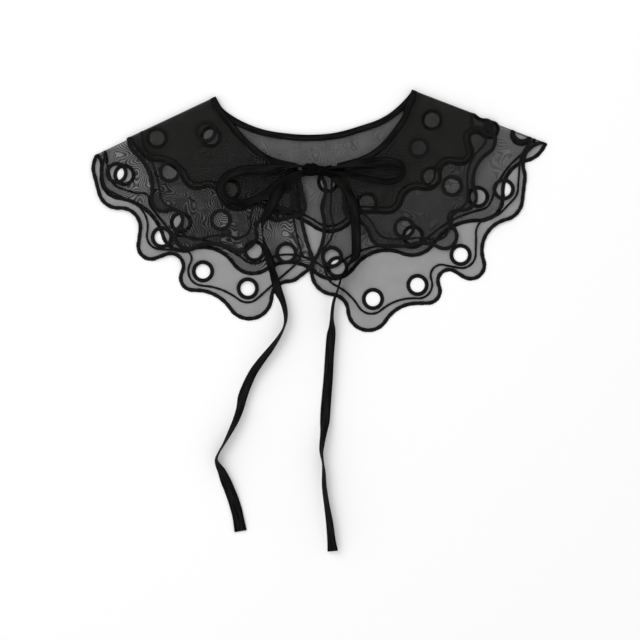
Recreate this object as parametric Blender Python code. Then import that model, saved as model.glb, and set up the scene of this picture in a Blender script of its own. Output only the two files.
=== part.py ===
"""Detachable two-tier collar of black organza, laid flat with both fronts folded over the back.

Each tier is one C-shaped cut piece: a back between two fronts, folded at the shoulders.
A cut piece is drawn flat in its pattern, meshed there, and then folded and laid on the surface.
Lengths are in millimetres until each object is made. +X is the picture's right, +Y runs from
the tie ends towards the nape, +Z is up, and the collar lies on z = 0.
"""

import math
from collections import namedtuple

import bpy
import numpy as np
from mathutils import Vector
from mathutils.geometry import delaunay_2d_cdt

METRES = 0.001

# Cloth and how it is stacked: back upper, back lower, front lower, front upper.
WALL = 1.0
PITCH = 1.5
SEAM_GAP = 0.3
SETTLE_START = 7.0
SETTLE_LENGTH = 18.0

# Cutwork.
EYELET_RADIUS = 7.0
EYELET_SIDES = 16

# Neck binding, tape and knot.
BAND_WIDTH = 5.7
BAND_THICKNESS = WALL + PITCH
TAPE_WALL = 1.0
TAPE_CLEARANCE = 0.45
TAPE_SLOPE = 0.12
KNOT_CENTRE = (-3.4, 134.6)
KNOT_SIZE = (24.0, 10.4, 6.6)
KNOT_WAIST = 0.2
KNOT_WAIST_SPREAD = 0.3
KNOT_END_ANGLE = 0.06 * math.pi
KNOT_END_FULLNESS = 0.45
KNOT_SQUARENESS = 0.7
STEEPEST_TILT = 88.0

# Mesh sizes. A grid point keeps clear of edges and folds by these parts of the grid's step.
CURVE_TOLERANCE = 0.22
GRID_STEP = 11.5
EDGE_CLEARANCE = 0.55
FOLD_CLEARANCE = 0.6
NECK_STEP = 7.0
TAPE_STEP = 5.0
FOLD_STEPS = 4
FOLD_ROW_STEP = 9.2
FOLD_REACH = (-14.0, 140.0)
KNOT_RINGS = 12
KNOT_SIDES = 20
# A turn beyond this is a rounding error at a point where two runs meet with no turn.
NEARLY_ROUND = 1.8 * math.pi

# Shoulder folds, from the neck end to the outer end.
Fold = namedtuple("Fold", "neck outer")
LEFT_FOLD = Fold(neck=(-94.9, 199.0), outer=(-200.2, 147.8))
RIGHT_FOLD = Fold(neck=(84.2, 206.4), outer=(204.8, 156.1))

# One row for each rounded part of an edge: centre, radius, and the radius of the hollow
# that joins it to the next row. A hollow of 0 is a straight run.
Round = namedtuple("Round", "x y radius hollow")

LOWER_LEFT_FRONT = (
    Round(x=-20.7, y=131.4, radius=2.7, hollow=135.0),
    Round(x=-18.9, y=54.9, radius=11.8, hollow=0.0),
    Round(x=-28.2, y=47.7, radius=14.0, hollow=12.6),
    Round(x=-61.8, y=20.9, radius=21.3, hollow=36.0),
    Round(x=-113.9, y=37.8, radius=12.2, hollow=9.9),
    Round(x=-143.1, y=69.3, radius=12.6, hollow=0.0),
    Round(x=-151.2, y=66.6, radius=13.1, hollow=18.0),
    Round(x=-183.4, y=121.2, radius=20.2, hollow=0.0),
    Round(x=-185.4, y=136.8, radius=20.3, hollow=10.8),
)
LOWER_BACK = (
    Round(x=-179.1, y=135.0, radius=18.5, hollow=0.0),
    Round(x=-179.1, y=127.8, radius=18.5, hollow=37.8),
    Round(x=-122.4, y=81.0, radius=19.8, hollow=27.0),
    Round(x=-61.2, y=63.0, radius=22.1, hollow=27.0),
    Round(x=11.3, y=61.2, radius=24.3, hollow=25.2),
    Round(x=82.8, y=82.8, radius=25.2, hollow=31.5),
    Round(x=144.0, y=110.7, radius=21.6, hollow=22.5),
    Round(x=180.9, y=166.5, radius=24.3, hollow=0.0),
    Round(x=202.1, y=158.9, radius=2.7, hollow=18.0),
)
LOWER_RIGHT_FRONT = (
    Round(x=164.7, y=124.2, radius=19.8, hollow=0.0),
    Round(x=162.9, y=108.9, radius=20.7, hollow=23.4),
    Round(x=135.0, y=50.0, radius=13.9, hollow=9.5),
    Round(x=95.4, y=27.0, radius=13.5, hollow=0.0),
    Round(x=86.4, y=30.6, radius=17.1, hollow=27.0),
    Round(x=44.1, y=8.1, radius=18.9, hollow=20.7),
    Round(x=14.3, y=45.9, radius=22.2, hollow=24.3),
    Round(x=18.9, y=100.8, radius=18.9, hollow=19.8),
    Round(x=1.6, y=130.8, radius=3.2, hollow=0.0),
)
UPPER_LEFT_FRONT = (
    Round(x=-20.7, y=131.4, radius=2.7, hollow=0.0),
    Round(x=-21.6, y=101.7, radius=9.9, hollow=0.0),
    Round(x=-38.7, y=99.0, radius=11.3, hollow=8.1),
    Round(x=-65.7, y=75.6, radius=10.8, hollow=0.0),
    Round(x=-72.0, y=71.1, radius=11.7, hollow=36.0),
    Round(x=-118.8, y=75.2, radius=13.1, hollow=7.2),
    Round(x=-139.5, y=108.9, radius=12.6, hollow=25.2),
    Round(x=-157.5, y=161.1, radius=15.8, hollow=0.0),
)
UPPER_BACK = (
    Round(x=-146.7, y=161.1, radius=19.4, hollow=25.2),
    Round(x=-110.7, y=131.4, radius=14.7, hollow=9.0),
    Round(x=-73.8, y=117.0, radius=19.4, hollow=18.9),
    Round(x=-35.1, y=112.5, radius=17.1, hollow=54.0),
    Round(x=9.0, y=104.4, radius=24.8, hollow=11.7),
    Round(x=43.2, y=105.8, radius=10.4, hollow=0.0),
    Round(x=59.9, y=110.7, radius=16.0, hollow=12.0),
    Round(x=95.4, y=130.1, radius=14.4, hollow=7.6),
    Round(x=125.6, y=151.7, radius=13.3, hollow=4.5),
    Round(x=152.1, y=171.9, radius=9.7, hollow=6.1),
)
UPPER_RIGHT_FRONT = (
    Round(x=143.1, y=161.6, radius=15.3, hollow=21.6),
    Round(x=128.7, y=110.7, radius=13.5, hollow=8.1),
    Round(x=111.6, y=75.6, radius=12.6, hollow=22.5),
    Round(x=75.6, y=82.8, radius=18.0, hollow=0.0),
    Round(x=57.6, y=79.2, radius=14.0, hollow=11.7),
    Round(x=33.8, y=102.2, radius=14.0, hollow=36.0),
    Round(x=17.3, y=130.6, radius=3.6, hollow=0.0),
)

# Eyelet centres, one row for each.
Eyelet = namedtuple("Eyelet", "x y")
LOWER_LEFT_EYELETS = (
    Eyelet(x=-183.6, y=132.3),
    Eyelet(x=-142.2, y=73.8),
    Eyelet(x=-105.3, y=44.1),
    Eyelet(x=-65.7, y=28.8),
    Eyelet(x=-30.2, y=60.3),
)
LOWER_RIGHT_EYELETS = (
    Eyelet(x=10.8, y=56.7),
    Eyelet(x=47.7, y=18.9),
    Eyelet(x=88.2, y=31.5),
    Eyelet(x=126.9, y=58.5),
    Eyelet(x=165.2, y=117.5),
)
LOWER_BACK_EYELETS = (
    Eyelet(x=-176.0, y=130.5),
    Eyelet(x=-125.1, y=87.8),
    Eyelet(x=-59.0, y=62.1),
    Eyelet(x=14.9, y=50.0),
    Eyelet(x=83.7, y=75.6),
    Eyelet(x=142.2, y=110.7),
    Eyelet(x=180.9, y=166.5),
)
UPPER_LEFT_EYELETS = (
    Eyelet(x=-135.0, y=133.2),
    Eyelet(x=-89.1, y=90.0),
    Eyelet(x=-102.6, y=169.2),
    Eyelet(x=-31.0, y=107.5),
)
UPPER_RIGHT_EYELETS = (
    Eyelet(x=75.6, y=82.8),
    Eyelet(x=118.8, y=120.6),
    Eyelet(x=88.7, y=154.8),
    Eyelet(x=144.0, y=180.0),
)
UPPER_BACK_EYELETS = (
    Eyelet(x=-146.7, y=163.8),
    Eyelet(x=-98.1, y=164.7),
    Eyelet(x=100.8, y=180.0),
    Eyelet(x=99.9, y=128.7),
    Eyelet(x=42.3, y=105.3),
    Eyelet(x=7.2, y=124.2),
    Eyelet(x=-81.0, y=117.0),
)

# Neck edge of the tiers, one row for each station. Rows meet at the fold.
Station = namedtuple("Station", "x y")
LEFT_FRONT_NECK = (
    Station(x=-20.6, y=134.6),
    Station(x=-46.8, y=141.6),
    Station(x=-67.5, y=156.6),
    Station(x=-88.2, y=178.7),
    Station(x=-100.7, y=197.0),
)
BACK_NECK = (
    Station(x=-92.0, y=184.5),
    Station(x=-73.8, y=173.4),
    Station(x=-52.2, y=165.6),
    Station(x=-27.0, y=161.6),
    Station(x=-4.5, y=160.8),
    Station(x=16.2, y=162.9),
    Station(x=36.9, y=169.2),
    Station(x=57.6, y=176.6),
    Station(x=75.0, y=186.5),
)
RIGHT_FRONT_NECK = (
    Station(x=90.4, y=204.9),
    Station(x=84.6, y=190.8),
    Station(x=78.3, y=179.1),
    Station(x=60.3, y=155.7),
    Station(x=42.0, y=142.6),
    Station(x=16.6, y=134.8),
)

# Tape paths, one row for each station: centre, width of the tape, its tilt from flat in
# degrees, and how far it is lifted off what it lies on.
Tape = namedtuple("Tape", "x y width tilt lift")
LEFT_LOOP = (
    Tape(x=-17.2, y=134.8, width=5.6, tilt=82.0, lift=0.3),
    Tape(x=-24.0, y=137.6, width=6.8, tilt=62.0, lift=1.6),
    Tape(x=-38.0, y=136.4, width=9.0, tilt=34.0, lift=1.2),
    Tape(x=-54.0, y=135.2, width=10.0, tilt=26.0, lift=0.4),
    Tape(x=-70.2, y=134.1, width=9.6, tilt=28.0, lift=0.0),
    Tape(x=-82.0, y=129.6, width=9.4, tilt=30.0, lift=0.0),
    Tape(x=-88.4, y=121.5, width=9.4, tilt=28.0, lift=0.0),
    Tape(x=-88.0, y=113.5, width=9.4, tilt=28.0, lift=0.0),
    Tape(x=-81.5, y=107.0, width=8.8, tilt=30.0, lift=0.0),
    Tape(x=-71.0, y=104.9, width=8.0, tilt=34.0, lift=0.0),
    Tape(x=-59.5, y=107.6, width=8.0, tilt=34.0, lift=0.6),
    Tape(x=-48.0, y=114.0, width=8.4, tilt=34.0, lift=1.6),
    Tape(x=-36.5, y=123.5, width=7.8, tilt=44.0, lift=2.2),
    Tape(x=-24.0, y=131.4, width=6.4, tilt=64.0, lift=2.2),
)
RIGHT_LOOP = (
    Tape(x=10.4, y=134.4, width=5.6, tilt=82.0, lift=0.3),
    Tape(x=17.0, y=131.8, width=6.4, tilt=64.0, lift=1.6),
    Tape(x=25.5, y=130.4, width=6.8, tilt=48.0, lift=1.6),
    Tape(x=36.5, y=128.0, width=7.2, tilt=40.0, lift=1.0),
    Tape(x=49.0, y=125.3, width=7.2, tilt=42.0, lift=0.3),
    Tape(x=62.0, y=124.0, width=7.4, tilt=46.0, lift=0.0),
    Tape(x=71.2, y=126.6, width=7.6, tilt=56.0, lift=0.0),
    Tape(x=75.4, y=133.0, width=7.6, tilt=56.0, lift=0.0),
    Tape(x=71.5, y=139.6, width=8.6, tilt=44.0, lift=0.0),
    Tape(x=62.0, y=142.2, width=9.4, tilt=32.0, lift=0.0),
    Tape(x=49.0, y=141.9, width=9.4, tilt=30.0, lift=0.2),
    Tape(x=34.5, y=140.2, width=8.8, tilt=34.0, lift=0.8),
    Tape(x=20.5, y=137.9, width=6.8, tilt=58.0, lift=1.6),
)
LEFT_TIE = (
    Tape(x=-17.6, y=130.6, width=5.6, tilt=6.0, lift=0.0),
    Tape(x=-29.0, y=124.4, width=7.6, tilt=6.0, lift=0.0),
    Tape(x=-37.0, y=116.0, width=9.6, tilt=8.0, lift=0.0),
    Tape(x=-41.6, y=107.0, width=10.0, tilt=10.0, lift=0.0),
    Tape(x=-45.6, y=98.6, width=10.0, tilt=22.0, lift=0.0),
    Tape(x=-49.4, y=91.6, width=10.0, tilt=52.0, lift=0.0),
    Tape(x=-51.4, y=85.0, width=10.0, tilt=74.0, lift=0.0),
    Tape(x=-51.4, y=76.5, width=10.0, tilt=84.0, lift=0.0),
    Tape(x=-50.2, y=69.3, width=10.0, tilt=76.0, lift=0.0),
    Tape(x=-47.9, y=62.6, width=10.0, tilt=62.0, lift=0.0),
    Tape(x=-45.2, y=53.6, width=10.2, tilt=44.0, lift=0.0),
    Tape(x=-42.9, y=45.0, width=10.2, tilt=52.0, lift=0.0),
    Tape(x=-40.3, y=36.0, width=10.2, tilt=44.0, lift=0.0),
    Tape(x=-37.8, y=27.0, width=10.2, tilt=42.0, lift=0.0),
    Tape(x=-33.8, y=17.6, width=10.2, tilt=58.0, lift=0.0),
    Tape(x=-31.4, y=9.0, width=10.2, tilt=65.0, lift=0.0),
    Tape(x=-30.8, y=1.4, width=10.2, tilt=73.0, lift=0.0),
    Tape(x=-32.4, y=-6.3, width=10.2, tilt=81.0, lift=0.0),
    Tape(x=-36.6, y=-14.8, width=10.2, tilt=74.0, lift=0.0),
    Tape(x=-44.2, y=-25.7, width=10.2, tilt=61.0, lift=0.0),
    Tape(x=-52.7, y=-36.5, width=10.2, tilt=51.0, lift=0.0),
    Tape(x=-60.1, y=-47.2, width=10.2, tilt=44.0, lift=0.0),
    Tape(x=-65.4, y=-58.1, width=10.2, tilt=39.0, lift=0.0),
    Tape(x=-69.5, y=-68.9, width=10.2, tilt=35.0, lift=0.0),
    Tape(x=-71.9, y=-79.7, width=10.2, tilt=48.0, lift=0.0),
    Tape(x=-75.8, y=-90.5, width=10.2, tilt=57.0, lift=0.0),
    Tape(x=-81.1, y=-101.2, width=10.2, tilt=68.0, lift=0.0),
    Tape(x=-86.8, y=-112.0, width=10.2, tilt=80.0, lift=0.0),
    Tape(x=-90.9, y=-119.0, width=10.0, tilt=82.0, lift=0.0),
    Tape(x=-93.2, y=-125.2, width=9.8, tilt=76.0, lift=0.0),
    Tape(x=-91.4, y=-130.6, width=9.8, tilt=58.0, lift=0.0),
    Tape(x=-88.2, y=-136.2, width=10.0, tilt=42.0, lift=0.0),
    Tape(x=-85.2, y=-143.5, width=10.2, tilt=26.0, lift=0.0),
    Tape(x=-80.3, y=-155.2, width=10.2, tilt=16.0, lift=0.0),
    Tape(x=-76.0, y=-167.8, width=10.2, tilt=6.0, lift=0.0),
    Tape(x=-73.4, y=-178.5, width=10.2, tilt=6.0, lift=0.0),
    Tape(x=-71.4, y=-190.0, width=11.2, tilt=0.0, lift=0.0),
)
RIGHT_TIE = (
    Tape(x=11.2, y=129.2, width=5.4, tilt=6.0, lift=0.0),
    Tape(x=15.6, y=124.8, width=6.4, tilt=6.0, lift=0.0),
    Tape(x=23.4, y=117.6, width=7.6, tilt=8.0, lift=0.0),
    Tape(x=29.8, y=103.5, width=9.0, tilt=14.0, lift=0.0),
    Tape(x=32.3, y=81.0, width=9.6, tilt=28.0, lift=0.0),
    Tape(x=32.4, y=60.5, width=9.8, tilt=32.0, lift=0.0),
    Tape(x=30.4, y=55.4, width=10.0, tilt=58.0, lift=0.0),
    Tape(x=26.6, y=51.0, width=10.0, tilt=76.0, lift=0.0),
    Tape(x=22.9, y=45.0, width=10.0, tilt=83.0, lift=0.0),
    Tape(x=18.5, y=36.0, width=10.0, tilt=82.0, lift=0.0),
    Tape(x=15.9, y=27.0, width=10.0, tilt=83.0, lift=0.0),
    Tape(x=12.7, y=18.0, width=10.0, tilt=77.0, lift=0.0),
    Tape(x=11.1, y=9.0, width=10.2, tilt=76.0, lift=0.0),
    Tape(x=10.6, y=0.0, width=10.2, tilt=72.0, lift=0.0),
    Tape(x=10.7, y=-7.6, width=10.2, tilt=54.0, lift=0.0),
    Tape(x=9.9, y=-14.8, width=10.2, tilt=39.0, lift=0.0),
    Tape(x=8.6, y=-31.1, width=10.2, tilt=39.0, lift=0.0),
    Tape(x=7.3, y=-52.6, width=10.2, tilt=36.0, lift=0.0),
    Tape(x=5.1, y=-79.7, width=10.2, tilt=30.0, lift=0.0),
    Tape(x=4.4, y=-90.5, width=10.2, tilt=34.0, lift=0.0),
    Tape(x=3.3, y=-100.6, width=10.2, tilt=54.0, lift=0.0),
    Tape(x=1.6, y=-113.0, width=10.2, tilt=66.0, lift=0.0),
    Tape(x=1.3, y=-119.5, width=10.2, tilt=73.0, lift=0.0),
    Tape(x=2.6, y=-128.2, width=10.0, tilt=81.0, lift=0.0),
    Tape(x=3.4, y=-136.5, width=10.0, tilt=73.0, lift=0.0),
    Tape(x=3.9, y=-150.0, width=10.0, tilt=66.0, lift=0.0),
    Tape(x=6.1, y=-166.1, width=10.0, tilt=61.0, lift=0.0),
    Tape(x=8.6, y=-182.0, width=10.2, tilt=52.0, lift=0.0),
    Tape(x=10.2, y=-197.0, width=10.2, tilt=44.0, lift=0.0),
    Tape(x=11.5, y=-207.8, width=10.8, tilt=30.0, lift=0.0),
)

# Colour of each node and its roughness.
Finish = namedtuple("Finish", "red green blue roughness")
ORGANZA = Finish(red=0.032, green=0.031, blue=0.033, roughness=0.62)
BINDING = Finish(red=0.009, green=0.009, blue=0.010, roughness=0.70)
TAPE = Finish(red=0.013, green=0.012, blue=0.013, roughness=0.66)


def clear_scene():
    for item in list(bpy.data.objects):
        bpy.data.objects.remove(item, do_unlink=True)


def unit(vector):
    return vector / np.linalg.norm(vector)


def fold_axes(fold):
    """Neck end of the fold, the unit vector along it, and the one into the laid panels."""
    start = np.array(fold.neck)
    along = unit(np.array(fold.outer) - start)
    inward = np.array([-along[1], along[0]])
    if inward[1] > 0:
        inward = -inward
    return start, along, inward


def mirrored(points, fold, bend):
    """A laid front carried to the pattern, or back: mirrored in the fold, with the length
    pi * bend that the cloth spends on the fold between."""
    start, _, inward = fold_axes(fold)
    points = np.asarray(points, float)
    across = (points - start) @ inward
    return points - (2 * across + math.pi * bend)[..., None] * inward


def rounds_in_pattern(left_front, back, right_front, bend):
    """The three tables of a tier as one chain of (centre, radius, hollow) in its pattern."""
    chain = []
    for rows, fold in ((left_front, LEFT_FOLD), (back, None), (right_front, RIGHT_FOLD)):
        centres = np.array([(row.x, row.y) for row in rows])
        if fold:
            centres = mirrored(centres, fold, bend)
        chain += [(centre, row.radius, row.hollow) for centre, row in zip(centres, rows)]
    return chain


def arc(centre, radius, start, end, tolerance):
    """Points on a circle from one angle to another, close enough for the tolerance."""
    step = 2 * math.acos(max(1 - tolerance / radius, 0.5))
    count = max(1, math.ceil(abs(end - start) / step))
    angles = np.linspace(start, end, count + 1)
    return centre + radius * np.column_stack([np.cos(angles), np.sin(angles)])


def join(first, second):
    """Leaving and arriving angles on two rounds, with the centre of the hollow between
    them, or None for a straight run."""
    (centre_a, radius_a, hollow), (centre_b, radius_b, _) = first, second
    span = centre_b - centre_a
    distance = np.linalg.norm(span)
    ahead = span / distance
    outside = np.array([ahead[1], -ahead[0]])
    if not hollow:
        slant = (radius_a - radius_b) / distance
        normal = ahead * slant + outside * math.sqrt(max(1 - slant * slant, 0.0))
        angle = math.atan2(normal[1], normal[0])
        return angle, angle, None
    reach_a, reach_b = radius_a + hollow, radius_b + hollow
    along = (reach_a**2 - reach_b**2 + distance**2) / (2 * distance)
    centre = centre_a + ahead * along + outside * math.sqrt(max(reach_a**2 - along**2, 0.0))
    leave, arrive = centre - centre_a, centre - centre_b
    return math.atan2(leave[1], leave[0]), math.atan2(arrive[1], arrive[0]), centre


def scalloped_edge(chain, first_point, last_point, tolerance):
    """The edge along a chain of rounds: convex arcs joined by hollows or straight runs. It
    meets the first and the last round by straight runs from the two ends of the neck."""
    _, entering, _ = join((first_point, 0.0, 0.0), chain[0])
    runs = []
    for here, after in zip(chain, chain[1:] + [(last_point, 0.0, 0.0)]):
        centre, radius, hollow = here
        leaving, arriving, hollow_centre = join(here, after)
        sweep = (leaving - entering) % (2 * math.pi)
        if sweep > NEARLY_ROUND:
            sweep = 0.0
        runs.append(arc(centre, radius, entering, entering + sweep, tolerance))
        if hollow_centre is not None:
            begin = leaving + math.pi
            turn = (begin - (arriving + math.pi)) % (2 * math.pi)
            if turn < NEARLY_ROUND:
                runs.append(arc(hollow_centre, hollow, begin, begin - turn, tolerance)[1:-1])
        entering = arriving
    return np.concatenate(runs)


def smooth_line(stations, step, closed=False):
    """A Catmull-Rom line through rows of numbers. Returns the samples, every station among
    them, and the index of each station."""
    rows = np.array(stations, float)
    if closed:
        padded = np.concatenate([rows[-1:], rows, rows[:2]])
    else:
        padded = np.concatenate([2 * rows[:1] - rows[1:2], rows, 2 * rows[-1:] - rows[-2:-1]])
    samples, places = [], []
    for i in range(len(padded) - 3):
        before, start, end, after = padded[i : i + 4]
        count = max(1, round(np.linalg.norm((end - start)[:2]) / step))
        places.append(len(samples))
        for t in np.arange(count) / count:
            samples.append(
                0.5
                * (
                    2 * start
                    + (end - before) * t
                    + (2 * before - 5 * start + 4 * end - after) * t**2
                    + (3 * start - before - 3 * end + after) * t**3
                )
            )
    if not closed:
        places.append(len(samples))
        samples.append(rows[-1])
    return np.array(samples), places


def neck_line(step, offset=0.0):
    """The neck edge as one line in the unfolded pattern with no fold allowance, with the
    two indices where it crosses the folds. The offset runs towards the neck."""
    left = mirrored(LEFT_FRONT_NECK, LEFT_FOLD, 0.0)
    right = mirrored(RIGHT_FRONT_NECK, RIGHT_FOLD, 0.0)
    line, places = smooth_line(np.concatenate([left, BACK_NECK, right]), step)
    crossings = places[len(left) - 1], places[len(left) + len(BACK_NECK)]
    tangent = np.gradient(line, axis=0)
    tangent /= np.linalg.norm(tangent, axis=1)[:, None]
    line = line + offset * np.column_stack([-tangent[:, 1], tangent[:, 0]])
    for index, fold in zip(crossings, (LEFT_FOLD, RIGHT_FOLD)):
        start, along, _ = fold_axes(fold)
        line[index] = start + along * ((line[index] - start) @ along)
    return line, crossings


def allow_for_folds(line, crossings, bend):
    """Moves the fronts of a neck line out by the length that their folds take up, and
    doubles the points on the folds."""
    first, second = crossings
    _, _, left_inward = fold_axes(LEFT_FOLD)
    _, _, right_inward = fold_axes(RIGHT_FOLD)
    allowance = math.pi * bend
    return np.concatenate(
        [
            line[: first + 1] - allowance * left_inward,
            line[first : second + 1],
            line[second:] - allowance * right_inward,
        ]
    )


def inside(points, outline):
    """Whether each point is inside a closed outline, by crossings of a ray."""
    x, y = points[:, 0, None], points[:, 1, None]
    ax, ay = outline[:, 0], outline[:, 1]
    bx, by = np.roll(ax, -1), np.roll(ay, -1)
    spans = (ay > y) != (by > y)
    rise = np.where(by == ay, 1.0, by - ay)
    return (spans & (x < (bx - ax) * (y - ay) / rise + ax)).sum(axis=1) % 2 == 1


def distance_to(points, outline):
    """Distance of each point from a closed outline."""
    start = outline
    run = np.roll(outline, -1, axis=0) - start
    length = np.maximum((run**2).sum(axis=1), 1e-12)
    offset = points[:, None, :] - start
    t = np.clip((offset * run).sum(axis=2) / length, 0, 1)
    return np.sqrt(((offset - t[..., None] * run) ** 2).sum(axis=2).min(axis=1))


def outside_by(points, outline):
    """Signed distance from an outline, above 0 outside it."""
    return distance_to(points, outline) * np.where(inside(points, outline), -1.0, 1.0)


class Pattern:
    """The flat shape of one cut piece, with its eyelets and the radius of its folds."""

    def __init__(self, outline, eyelets, bend):
        self.outline = outline
        self.eyelets = eyelets
        self.bend = bend


def tier_pattern(fronts_and_back, eyelets, bend):
    chain = rounds_in_pattern(*fronts_and_back, bend)
    neck = allow_for_folds(*neck_line(NECK_STEP), bend)
    edge = scalloped_edge(chain, neck[0], neck[-1], CURVE_TOLERANCE)
    left, back, right = eyelets
    centres = np.concatenate(
        [mirrored(left, LEFT_FOLD, bend), back, mirrored(right, RIGHT_FOLD, bend)]
    )
    return Pattern(np.concatenate([edge, neck[::-1]]), centres, bend)


LOWER = tier_pattern(
    (LOWER_LEFT_FRONT, LOWER_BACK, LOWER_RIGHT_FRONT),
    (LOWER_LEFT_EYELETS, LOWER_BACK_EYELETS, LOWER_RIGHT_EYELETS),
    bend=PITCH / 2,
)
UPPER = tier_pattern(
    (UPPER_LEFT_FRONT, UPPER_BACK, UPPER_RIGHT_FRONT),
    (UPPER_LEFT_EYELETS, UPPER_BACK_EYELETS, UPPER_RIGHT_EYELETS),
    bend=1.5 * PITCH,
)


def settled(distance):
    """1 over the cloth beneath, falling smoothly to 0 beyond its edge."""
    t = np.clip((distance - SETTLE_START) / SETTLE_LENGTH, 0, 1)
    return 1 - t * t * (3 - 2 * t)


def back_upper_height(points, fold):
    return np.full(len(points), WALL / 2)


def back_lower_height(points, fold):
    return WALL / 2 + PITCH * settled(outside_by(points, UPPER.outline))


def front_lower_height(points, fold):
    lift = PITCH * settled(outside_by(points, LOWER.outline))
    return back_lower_height(points, fold) + lift


def front_upper_height(points, fold):
    beneath = mirrored(points, fold, LOWER.bend)
    lift = PITCH * settled(outside_by(beneath, LOWER.outline))
    return front_lower_height(points, fold) + lift


def band_back_height(points, fold):
    return np.full(len(points), BAND_THICKNESS / 2)


def band_front_height(points, fold):
    return np.full(len(points), BAND_THICKNESS / 2 + 2 * PITCH)


FRONT_OF = {
    back_upper_height: front_upper_height,
    back_lower_height: front_lower_height,
    band_back_height: band_front_height,
}


def laid(points, bend, back_height, thickness):
    """Outer and inner faces of a pattern's points once it is folded and laid: the outer
    face is the lower one on the back and the upper one on the fronts."""
    outer, inner = np.empty((len(points), 3)), np.empty((len(points), 3))
    for fold, chosen in ((LEFT_FOLD, points[:, 0] < 0), (RIGHT_FOLD, points[:, 0] >= 0)):
        part = points[chosen]
        start, _, inward = fold_axes(fold)
        across = (part - start) @ inward
        turn = np.clip(-across / bend, 0, math.pi)
        foot = part - across[:, None] * inward
        past = np.maximum(-across - math.pi * bend, 0) + np.maximum(across, 0)
        plan = foot + (past - bend * np.sin(turn))[:, None] * inward
        level = back_height(foot + past[:, None] * inward, fold)
        centre = level + bend
        front = turn >= math.pi
        top = np.where(front, FRONT_OF[back_height](plan, fold), centre - bend * np.cos(turn))
        top = np.where(across >= 0, level, top)
        middle = np.column_stack([plan, top])
        face = np.column_stack([-np.sin(turn)[:, None] * inward, -np.cos(turn)])
        outer[chosen] = middle + face * thickness / 2
        inner[chosen] = middle - face * thickness / 2
    return outer, inner


def ring_of(centre, radius, sides):
    angles = np.arange(sides) * 2 * math.pi / sides
    return centre + radius * np.column_stack([np.cos(angles), np.sin(angles)])


def fold_lines(bend):
    """Straight rows of points along each fold, from where the cloth starts to bend to where
    it ends, reaching past the cloth at both ends."""
    rows = []
    for fold in (LEFT_FOLD, RIGHT_FOLD):
        start, along, inward = fold_axes(fold)
        reach = np.arange(*FOLD_REACH, FOLD_ROW_STEP)
        for step in range(FOLD_STEPS + 1):
            shift = -math.pi * bend * step / FOLD_STEPS
            rows.append(start + shift * inward + reach[:, None] * along)
    return rows


def fill_points(outline, holes, rows):
    """A triangular grid of points inside the outline, clear of every edge and fold."""
    low, high = outline.min(axis=0), outline.max(axis=0)
    columns = np.arange(low[0], high[0], GRID_STEP)
    lines = np.arange(low[1], high[1], GRID_STEP * math.sqrt(3) / 2)
    grid = np.array(
        [(x + (i % 2) * GRID_STEP / 2, y) for i, y in enumerate(lines) for x in columns]
    )
    clearance = EDGE_CLEARANCE * GRID_STEP
    grid = grid[outside_by(grid, outline) < -clearance]
    for hole in holes:
        grid = grid[outside_by(grid, hole) > clearance]
    for row in rows:
        near = np.sqrt(((grid[:, None] - row) ** 2).sum(axis=2).min(axis=1))
        grid = grid[near > FOLD_CLEARANCE * GRID_STEP]
    return grid


def flat_mesh(outline, holes, rows, fill):
    """Triangles of the cloth in its pattern, with every edge and fold kept as drawn."""
    points, edges = [], []
    loops = [outline, *holes]
    for index, line in enumerate(loops + rows):
        first = len(points)
        points += [Vector(point) for point in line]
        edges += [(first + i, first + i + 1) for i in range(len(line) - 1)]
        if index < len(loops):
            edges.append((len(points) - 1, first))
    points += [Vector(point) for point in fill]
    found, _, faces, _, _, _ = delaunay_2d_cdt(points, edges, [], 0, 1e-5, False)
    found = np.array([tuple(point) for point in found])
    faces = np.array([tuple(face) for face in faces])
    middle = found[faces].mean(axis=1)
    kept = inside(middle, outline)
    for hole in holes:
        kept &= ~inside(middle, hole)
    faces = faces[kept]
    a, b, c = (found[faces[:, i]] for i in range(3))
    turned = (b - a)[:, 0] * (c - a)[:, 1] - (b - a)[:, 1] * (c - a)[:, 0] < 0
    faces[turned] = faces[turned][:, ::-1]
    used, faces = np.unique(faces, return_inverse=True)
    return found[used], faces.reshape(-1, 3)


def open_edges(faces):
    """Directed edges that only one triangle has."""
    directed = np.concatenate([faces[:, [0, 1]], faces[:, [1, 2]], faces[:, [2, 0]]])
    present = {tuple(edge) for edge in directed}
    return [edge for edge in present if (edge[1], edge[0]) not in present]


def closed_wall(outer, inner, faces):
    """Closed mesh between two faces of cloth that share their triangles."""
    count = len(outer)
    sides = []
    for a, b in open_edges(faces):
        sides += [(a, b, b + count), (a, b + count, a + count)]
    return np.concatenate([outer, inner]), np.concatenate(
        [faces[:, ::-1], faces + count, np.array(sides)]
    )


def facing_out(points, faces):
    corners = points[faces]
    volume = np.einsum("ij,ij->i", corners[:, 0], np.cross(corners[:, 1], corners[:, 2]))
    return faces if volume.sum() > 0 else faces[:, ::-1]


def material(name, finish):
    found = bpy.data.materials.new(name)
    found.use_nodes = True
    shader = found.node_tree.nodes["Principled BSDF"]
    shader.inputs["Base Color"].default_value = (finish.red, finish.green, finish.blue, 1)
    shader.inputs["Roughness"].default_value = finish.roughness
    return found


def add_object(name, points, faces, finish):
    mesh = bpy.data.meshes.new(name)
    faces = facing_out(points, faces)
    mesh.from_pydata([tuple(p) for p in points * METRES], [], [tuple(map(int, f)) for f in faces])
    mesh.materials.append(material(name, finish))
    item = bpy.data.objects.new(name, mesh)
    bpy.context.scene.collection.objects.link(item)
    return item


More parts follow.
